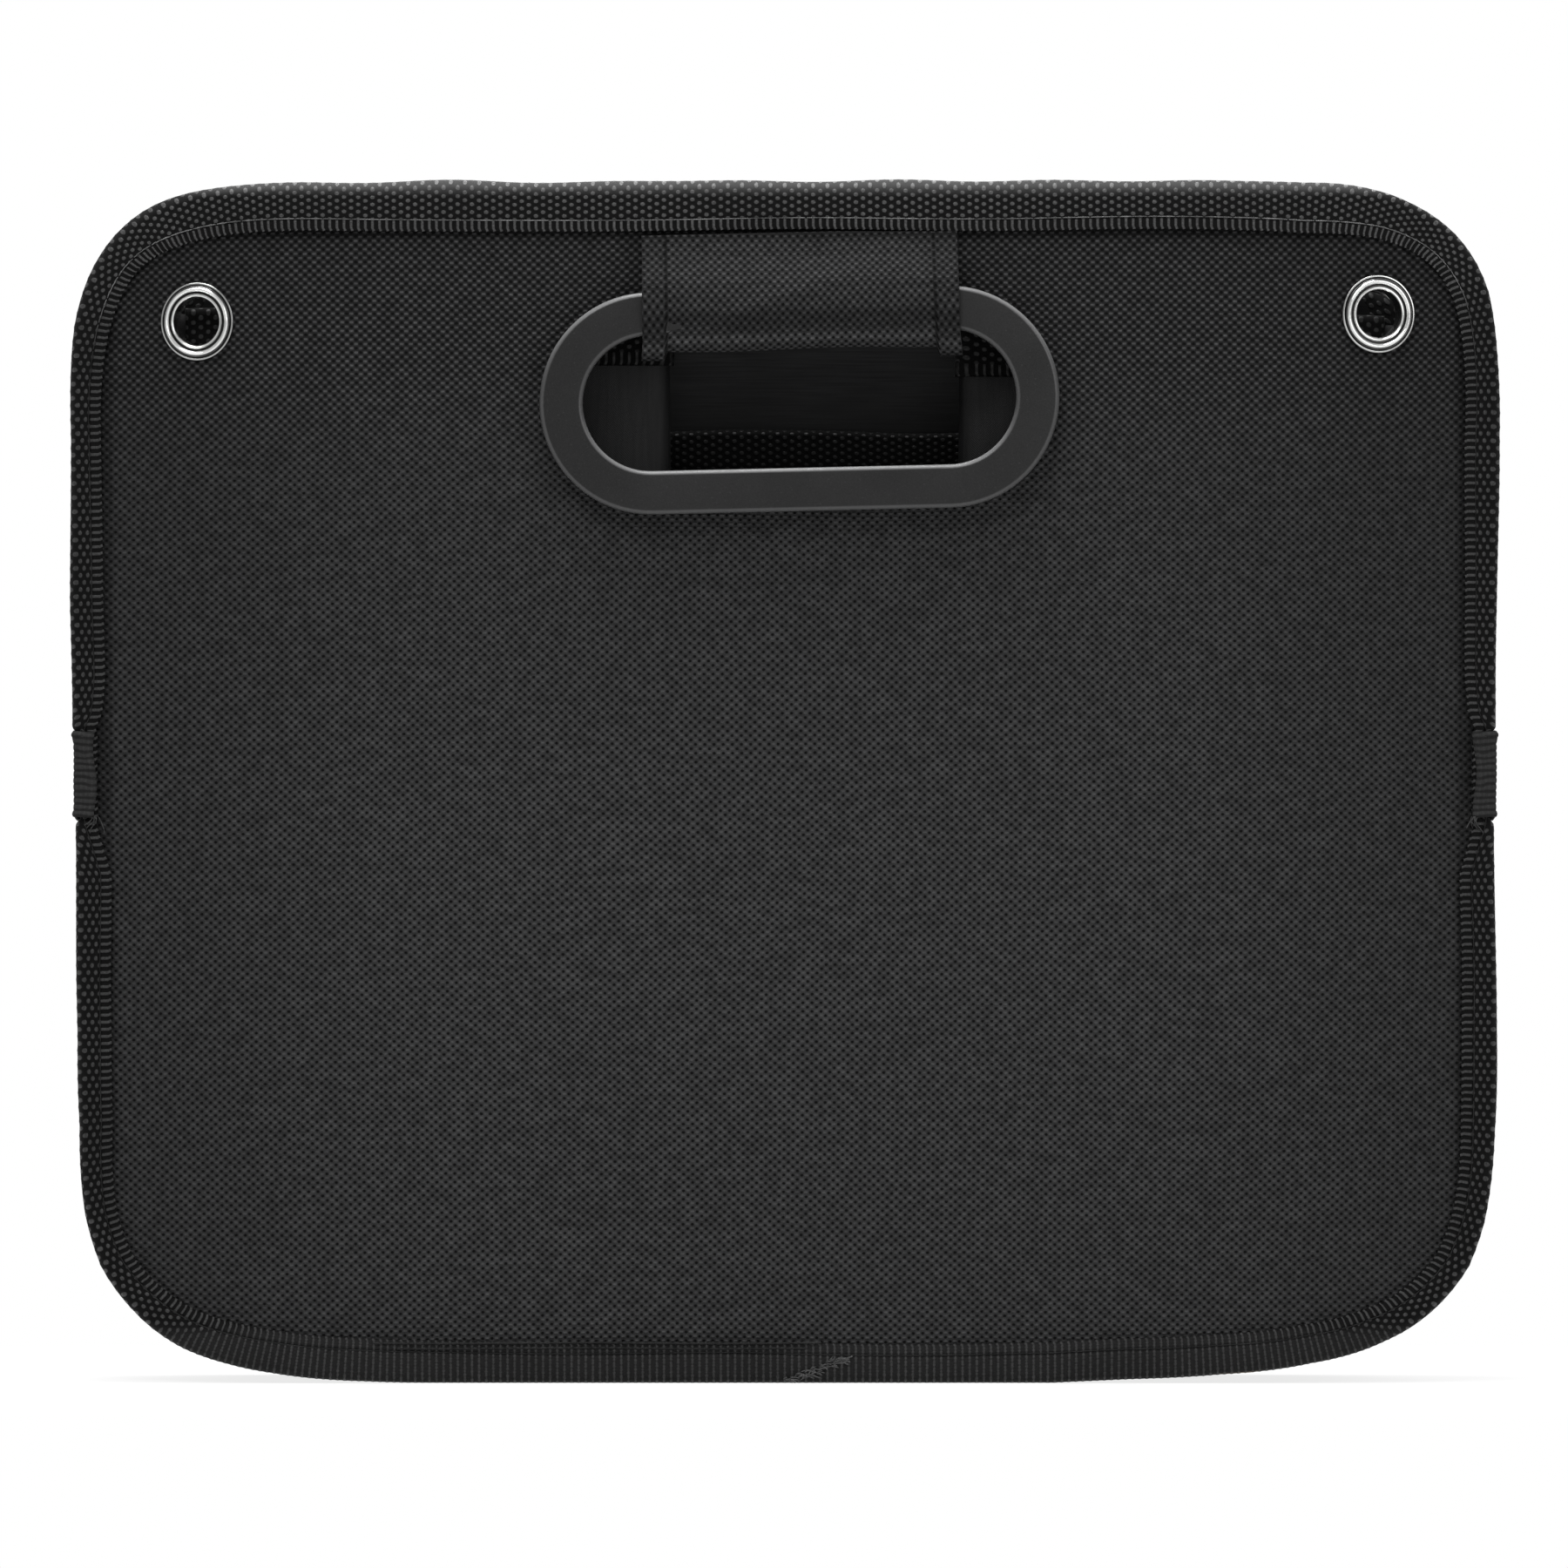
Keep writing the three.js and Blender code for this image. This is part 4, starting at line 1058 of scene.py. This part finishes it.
def tube(name, points, radius, sides=6, ring=False):
    """A thread along points in millimetres. radius is one number, or one for each point. Ends taper to a close,
    and a ring has none."""
    points = np.asarray(points, float)
    count = len(points) - 1
    thick = np.broadcast_to(radius, count + 1).astype(float).copy()
    if ring:
        run = np.roll(points[:-1], -1, axis=0) - np.roll(points[:-1], 1, axis=0)
        run = np.concatenate([run, run[:1]])
    else:
        run = np.gradient(points, axis=0)
        thick[[0, -1]] = 0.0
    run = run / np.maximum(np.linalg.norm(run, axis=1), 1e-9)[:, None]
    aside = np.cross(run, (0.0, 1.0, 0.0))
    aside = aside / np.maximum(np.linalg.norm(aside, axis=1), 1e-6)[:, None]
    above = np.cross(aside, run)

    def shape(station, corner):
        turn = 2 * math.pi * (corner % sides) / sides
        spoke = aside[station] * np.cos(turn)[:, None] + above[station] * np.sin(turn)[:, None]
        return (points[station] + spoke * thick[station][:, None]).T

    return shaped_grid(name, count, sides, shape, closed=True)


def joined(name, parts):
    """One piece made of several."""
    bm = bmesh.new()
    for part in parts:
        bm.from_mesh(part.data)
        bpy.data.objects.remove(part)
    return piece_from(name, bm)


for name, side in PANELS.items():
    body = f"{name}_handle"
    ring = carrying_ring(f"{name}_carrying_ring", side)
    show(ring, handle_plastic, body, [f"{name}_handle_ring"])
    strip = tab(f"{name}_tab", side)
    show(strip, tab_canvas, None, [f"{name}_handle_tab"])
    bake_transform(strip)


# Eyelets and washers, spun round their bores

SPUN_STEPS = 72


def spun(name, profile, x, z, side):
    """A ring spun from a radius and height profile, laid flat on the bowed panel."""
    bm = bmesh.new()
    vertices = [bm.verts.new((radius * MM, 0, height * MM)) for radius, height in rounded(profile)]
    edges = [bm.edges.new(pair) for pair in zip(vertices, vertices[1:] + vertices[:1])]
    bmesh.ops.spin(bm, geom=vertices + edges, cent=(0, 0, 0), axis=(0, 0, 1), angle=2 * math.pi,
                   steps=SPUN_STEPS, use_merge=True)
    bmesh.ops.remove_doubles(bm, verts=bm.verts, dist=1e-7)
    bmesh.ops.recalc_face_normals(bm, faces=bm.faces)
    layer = bm.loops.layers.uv.new("UVMap")
    for loop in (loop for face in bm.faces for loop in face.loops):
        loop[layer].uv = (0.0, math.hypot(loop.vert.co.x, loop.vert.co.y) / MM)
    past = max(0.0, abs(x) - (PANEL_HALF - BOW_REACH)) / BOW_REACH
    slope = math.copysign(2 * BOW_DEPTH * past / BOW_REACH, x)
    normal = Vector((slope, side, 0)).normalized()
    turn = normal.to_track_quat("Z", "Y").to_matrix().to_4x4()
    seat = Vector((x, side * (CLOTH_FRONT - float(bow(x))), z)) * MM
    pressed = Matrix.Diagonal((EYELET_PRESSED, 1, 1, 1))
    bmesh.ops.transform(bm, matrix=Matrix.Translation(seat) @ pressed @ turn, verts=bm.verts)
    return piece_from(name, bm)


CORNER_POINTS = 5


def rounded(points):
    """A profile with its corners rounded. Each point is a radius, a height and how far its rounding reaches."""
    corners = [np.array(point[:2]) for point in points]
    made = []
    for i, here in enumerate(corners):
        start, end = (here + (other - here) / np.linalg.norm(other - here) * points[i][2]
                      for other in (corners[i - 1], corners[(i + 1) % len(corners)]))
        for t in np.linspace(0, 1, CORNER_POINTS):
            made.append(start * (1 - t) ** 2 + 2 * here * t * (1 - t) + end * t * t)
    return made


# The eyelets are pressed narrower than they are high
EYELET_PRESSED = 0.94
EYELET_BACK = -(CLOTH_FRONT - LINING_BACK) - 0.55 - 0.8 - 0.3
EYELET_PROFILE = [
    (6.1, EYELET_BACK - 0.6, 0.2), (8.0, EYELET_BACK - 0.6, 0.2), (8.0, EYELET_BACK, 0.2),
    (6.8, EYELET_BACK, 0.1), (6.8, 0.2, 0.1), (9.8, -0.1, 0.1), (9.85, 0.80, 0.2), (9.35, 0.85, 0.15),
    (9.2, 0.55, 0.05), (9.1, 0.6, 0.05), (9.0, 1.3, 0.5), (8.2, 2.3, 0.6), (7.5, 1.5, 0.4), (7.3, 0.7, 0.05),
    (7.1, 0.7, 0.05), (6.95, 1.5, 0.3), (6.5, 1.75, 0.25), (6.1, 1.3, 0.3)]
WASHER_PROFILE = [
    (7.1, EYELET_BACK + 0.3, 0.1), (9.3, EYELET_BACK + 0.3, 0.1), (9.3, EYELET_BACK + 1.0, 0.2),
    (8.6, EYELET_BACK + 1.1, 0.2), (7.1, EYELET_BACK + 1.1, 0.1)]

for name, side in PANELS.items():
    for hand, (x, z) in EYELETS.items():
        node = f"{name}_{hand}_eyelet"
        for part, profile, replaced in (("ring", EYELET_PROFILE, node),
                                        ("backing", WASHER_PROFILE, f"{node}_washer")):
            show(spun(f"{node}_{part}", profile, x, z, side), nickel_plate, "root", [replaced])


# Stitching and loose ends

STITCH_STATIONS = 12


def tape_thread(name, side):
    """The line of stitches along the panel's tape, dipping into it at each stitch."""
    station = np.arange(len(panel_edge.points) - 1)
    x, z = panel_edge.points[station].T
    inset = panel_edge.width[station] + panel_sway(x, z) - (SELVEDGE + 0.25) * GRAIN_ROW
    inset = inset + 0.2 * np.sin(station * 0.013)
    dip = 0.34 * np.maximum(0.0, np.cos(2 * math.pi * station / STITCH_STATIONS)) ** 6
    out = FACE + 0.30 - dip - 0.45 * strap_press(x, z)
    x, z = panel_edge.at(station, inset - fuller_outline(x, z))
    points = np.column_stack([x, side * (out - bow(x)), z])
    return tube(name, np.concatenate([points, points[:1]]), 0.13, ring=True)


def twisted_rows(name, side):
    """Two rows of short twisted stitches along the inner edge of the bottom tape."""
    rows = []
    for level, start, end in ((10.15, -104.0, 9.5), (8.85, -98.0, 6.0)):
        x = np.arange(start, end, 0.36)
        z = level + 0.12 * np.sin(x * 0.09)
        beads = 0.16 + 0.26 * np.abs(np.sin(math.pi * x / 2.15 + level))
        points = np.column_stack([x, side * (FACE + 0.25 - bow(x)), z])
        rows.append(tube("row", points, beads))
    return joined(name, rows)


def frayed_end(name, side):
    """The raw end of the bottom tape, cut slanting, with its threads spread."""
    draw = np.random.default_rng(7 + side)
    fibres = []
    for share in np.linspace(0, 1, 76):
        start = np.array([3.4 + 13.6 * share - draw.uniform(0.0, 5.0), 0.6 + 5.8 * share])
        reach = draw.uniform(1.2, 3.4)
        turn = draw.uniform(-0.5, 1.1)
        swing = draw.uniform(-0.5, 0.5)
        t = np.linspace(0, 1, 8)
        x = start[0] + reach * t * math.cos(turn) + swing * t * t
        z = np.maximum(start[1] + reach * t * math.sin(turn) * 0.6 - 0.4 * t * t, 0.25)
        out = 0.22 + 0.45 * np.sin(math.pi * t * 0.7) * draw.uniform(0.3, 1.0)
        points = np.column_stack([x, side * (FACE + out), z])
        fibres.append(tube("fibre", points, draw.uniform(0.10, 0.2), sides=5))
    return joined(name, fibres)


for name, side in PANELS.items():
    show(tape_thread(f"{name}_binding_stitches", side), seam_thread, "root")
    show(twisted_rows(f"{name}_bottom_stitches", side), seam_thread, "root")
    show(frayed_end(f"{name}_tape_end_fibres", side), pale_thread, "root")


# Side straps, closed with hook and loop on the rear panel

STRAP_END, STRAP_RIBS = 5.4, 13


def strap_route():
    """A strap seen from above: distance in from the panel's edge, and depth."""
    edge = FACE - float(bow(np.array(PANEL_HALF)))

    def on_face(reach, lift):
        return FACE - float(bow(np.array(PANEL_HALF - reach))) + lift

    route = [(STRAP_END, -on_face(STRAP_END, 0.15)), (4.2, -on_face(4.2, 0.75))]
    turn = np.radians(np.linspace(80, 0, 8))
    route += [(1.0 - 1.1 * math.cos(a), -(edge - 1.2 + 1.9 * math.sin(a))) for a in turn]
    route += [(1.0 - 1.1 * math.cos(a), edge - 1.2 + 1.9 * math.sin(a)) for a in turn[::-1]]
    for reach in np.arange(7, 53, 5):
        route.append((reach, on_face(reach, 0.9 + 0.6 * float(smooth(np.array(reach), 7, 15)))))
    return np.array(route, float)


def side_strap(name, sideways):
    """A ribbed strap round the panels' edges, with its rolled end on the front tape."""
    columns, rows = 180, STRAP_RIBS * 4
    line = evenly(strap_route(), columns + 1)
    run = units(np.gradient(line, axis=0))

    def shape(column, row):
        share = row / rows
        front = 1 - smooth(column, 16, 34)
        rib = 0.16 * np.abs(np.sin(math.pi * row / 4)) ** 0.7
        roll = 0.55 * front * (bell(share, 0.95, 0.05) + 0.5 * bell(share, 0.03, 0.04))
        off = rib + roll + 0.12 * unevenness(column * 0.9, row * 0.45, 14.0, 61 + sideways) * front
        t, d = beside(line, run, column, off)
        t = t + 0.5 * front * np.sin(share * 7 + sideways) * smooth(-column, -12, 0)
        slant = front * (0.5 - share) * 0.8
        wave = 0.35 * np.sin(column * 0.09) * (1 - smooth(column, 60, 100))
        z = STRAP_BOTTOM + STRAP_WIDTH * share + slant + wave
        return sideways * (PANEL_HALF - t), d, z

    made = shaped_grid(name, columns, rows, shape, uv_size=(60, STRAP_RIBS), outwards=(sideways, 0, 0))
    return thicken(made, 0.7)


def loose_threads(name, sideways):
    """Ends of thread hanging from a strap's lower corner."""
    draw = np.random.default_rng(23 + sideways)
    fibres = []
    for _ in range(7):
        inset = draw.uniform(3.4, 6.2)
        drop = draw.uniform(2.0, 5.2)
        t = np.linspace(0, 1, 10)
        reach = inset + draw.uniform(-1.6, 1.8) * t + 0.6 * np.sin(t * draw.uniform(2, 6))
        x = PANEL_HALF - reach
        z = STRAP_BOTTOM + 1.0 - drop * t
        y = -(FACE - bow(x) + 0.35 + 0.5 * np.sin(math.pi * t))
        points = np.column_stack([sideways * x, y, z])
        fibres.append(tube("fibre", points, draw.uniform(0.08, 0.14), sides=5))
    return joined(name, fibres)


for hand, sideways in HANDS.items():
    show(side_strap(f"{hand}_side_strap", sideways), strap_webbing, "root", [f"{hand}_strap"])
    show(loose_threads(f"{hand}_strap_threads", sideways), black_thread, "root")


# Boards and hook and loop patches keep the shapes they have

KEPT = {board_core: ("front_panel_board", "rear_panel_board", "divider_board"),
        base_stiffener: ("base_board_a", "base_board_b"),
        hook_and_loop_nap: [f"{hand}_{kind}_patch" for hand in HANDS for kind in ("loop", "hook")]}

for material, names in KEPT.items():
    for name in names:
        nodes[name].data.materials.clear()
        nodes[name].data.materials.append(material)


# Floor, backdrop and lamps

WHITE = (1, 1, 1, 1)
FILL_STRENGTH = 0.55


def floor_and_backdrop():
    """A floor that is white to the camera from a short way off, and near the piece lets its shadow show."""
    bm = bmesh.new()
    bmesh.ops.create_grid(bm, x_segments=1, y_segments=1, size=6.0)
    floor = piece_from("floor", bm, flat=True)
    finish = Finish("pale_floor")
    finish.wear(0.86, 0.9, specular=0.1)
    path = finish.add("LightPath")
    seen = finish.math("MAXIMUM", path["Is Camera Ray"], path["Is Glossy Ray"]).most(path["Is Transmission Ray"])
    glow = finish.add("Emission", {"Color": WHITE, "Strength": 1.0})[0]
    across, deep, _ = finish.axes("Object")
    share = seen * abs(across).most(abs(deep)).ramp(0.12, 0.24, 0.80, 1.0)
    both = finish.add("MixShader", {0: share, 1: finish.shader.outputs[0], 2: glow})[0]
    finish.put(finish.tree.nodes["Material Output"].inputs[0], both)
    floor.data.materials.append(finish.material)


def studio_world():
    """Soft light from all round, behind which the camera sees plain white."""
    world = bpy.data.worlds.new("studio")
    world.use_nodes = True
    bpy.context.scene.world = world
    tools = Nodes(world.node_tree)
    fill = tools.tree.nodes["Background"]
    tools.put(fill.inputs["Color"], WHITE)
    tools.put(fill.inputs["Strength"], FILL_STRENGTH)
    clear = tools.add("Background", {"Color": WHITE, "Strength": 1.0})[0]
    path = tools.add("LightPath")
    seen = tools.math("MAXIMUM", path["Is Camera Ray"], path["Is Transmission Ray"])
    both = tools.add("MixShader", {0: seen, 1: fill.outputs[0], 2: clear})[0]
    tools.put(tools.tree.nodes["World Output"].inputs[0], both)


def lamp(name, place, aim, size, power):
    """An area lamp turned towards a point."""
    light = bpy.data.lights.new(name, "AREA")
    light.shape = "RECTANGLE"
    light.size, light.size_y = size
    light.energy = power
    holder = bpy.data.objects.new(name, light)
    holder.location = place
    holder.rotation_euler = (Vector(aim) - Vector(place)).to_track_quat("-Z", "Y").to_euler()
    bpy.context.scene.collection.objects.link(holder)


floor_and_backdrop()
studio_world()
lamp("key_softbox", (-0.5, -1.3, 1.5), (0, 0, 0.15), (1.0, 0.7), 17.0)
lamp("fill_softbox", (1.1, -1.4, 0.7), (0, 0, 0.15), (0.8, 0.8), 7.5)
lamp("rear_softbox", (0.3, 1.5, 1.3), (0, 0, 0.15), (1.2, 0.8), 12.0)
lamp("top_softbox", (-0.1, -0.02, 1.55), (0, 0, 0.25), (1.1, 0.5), 34.0)
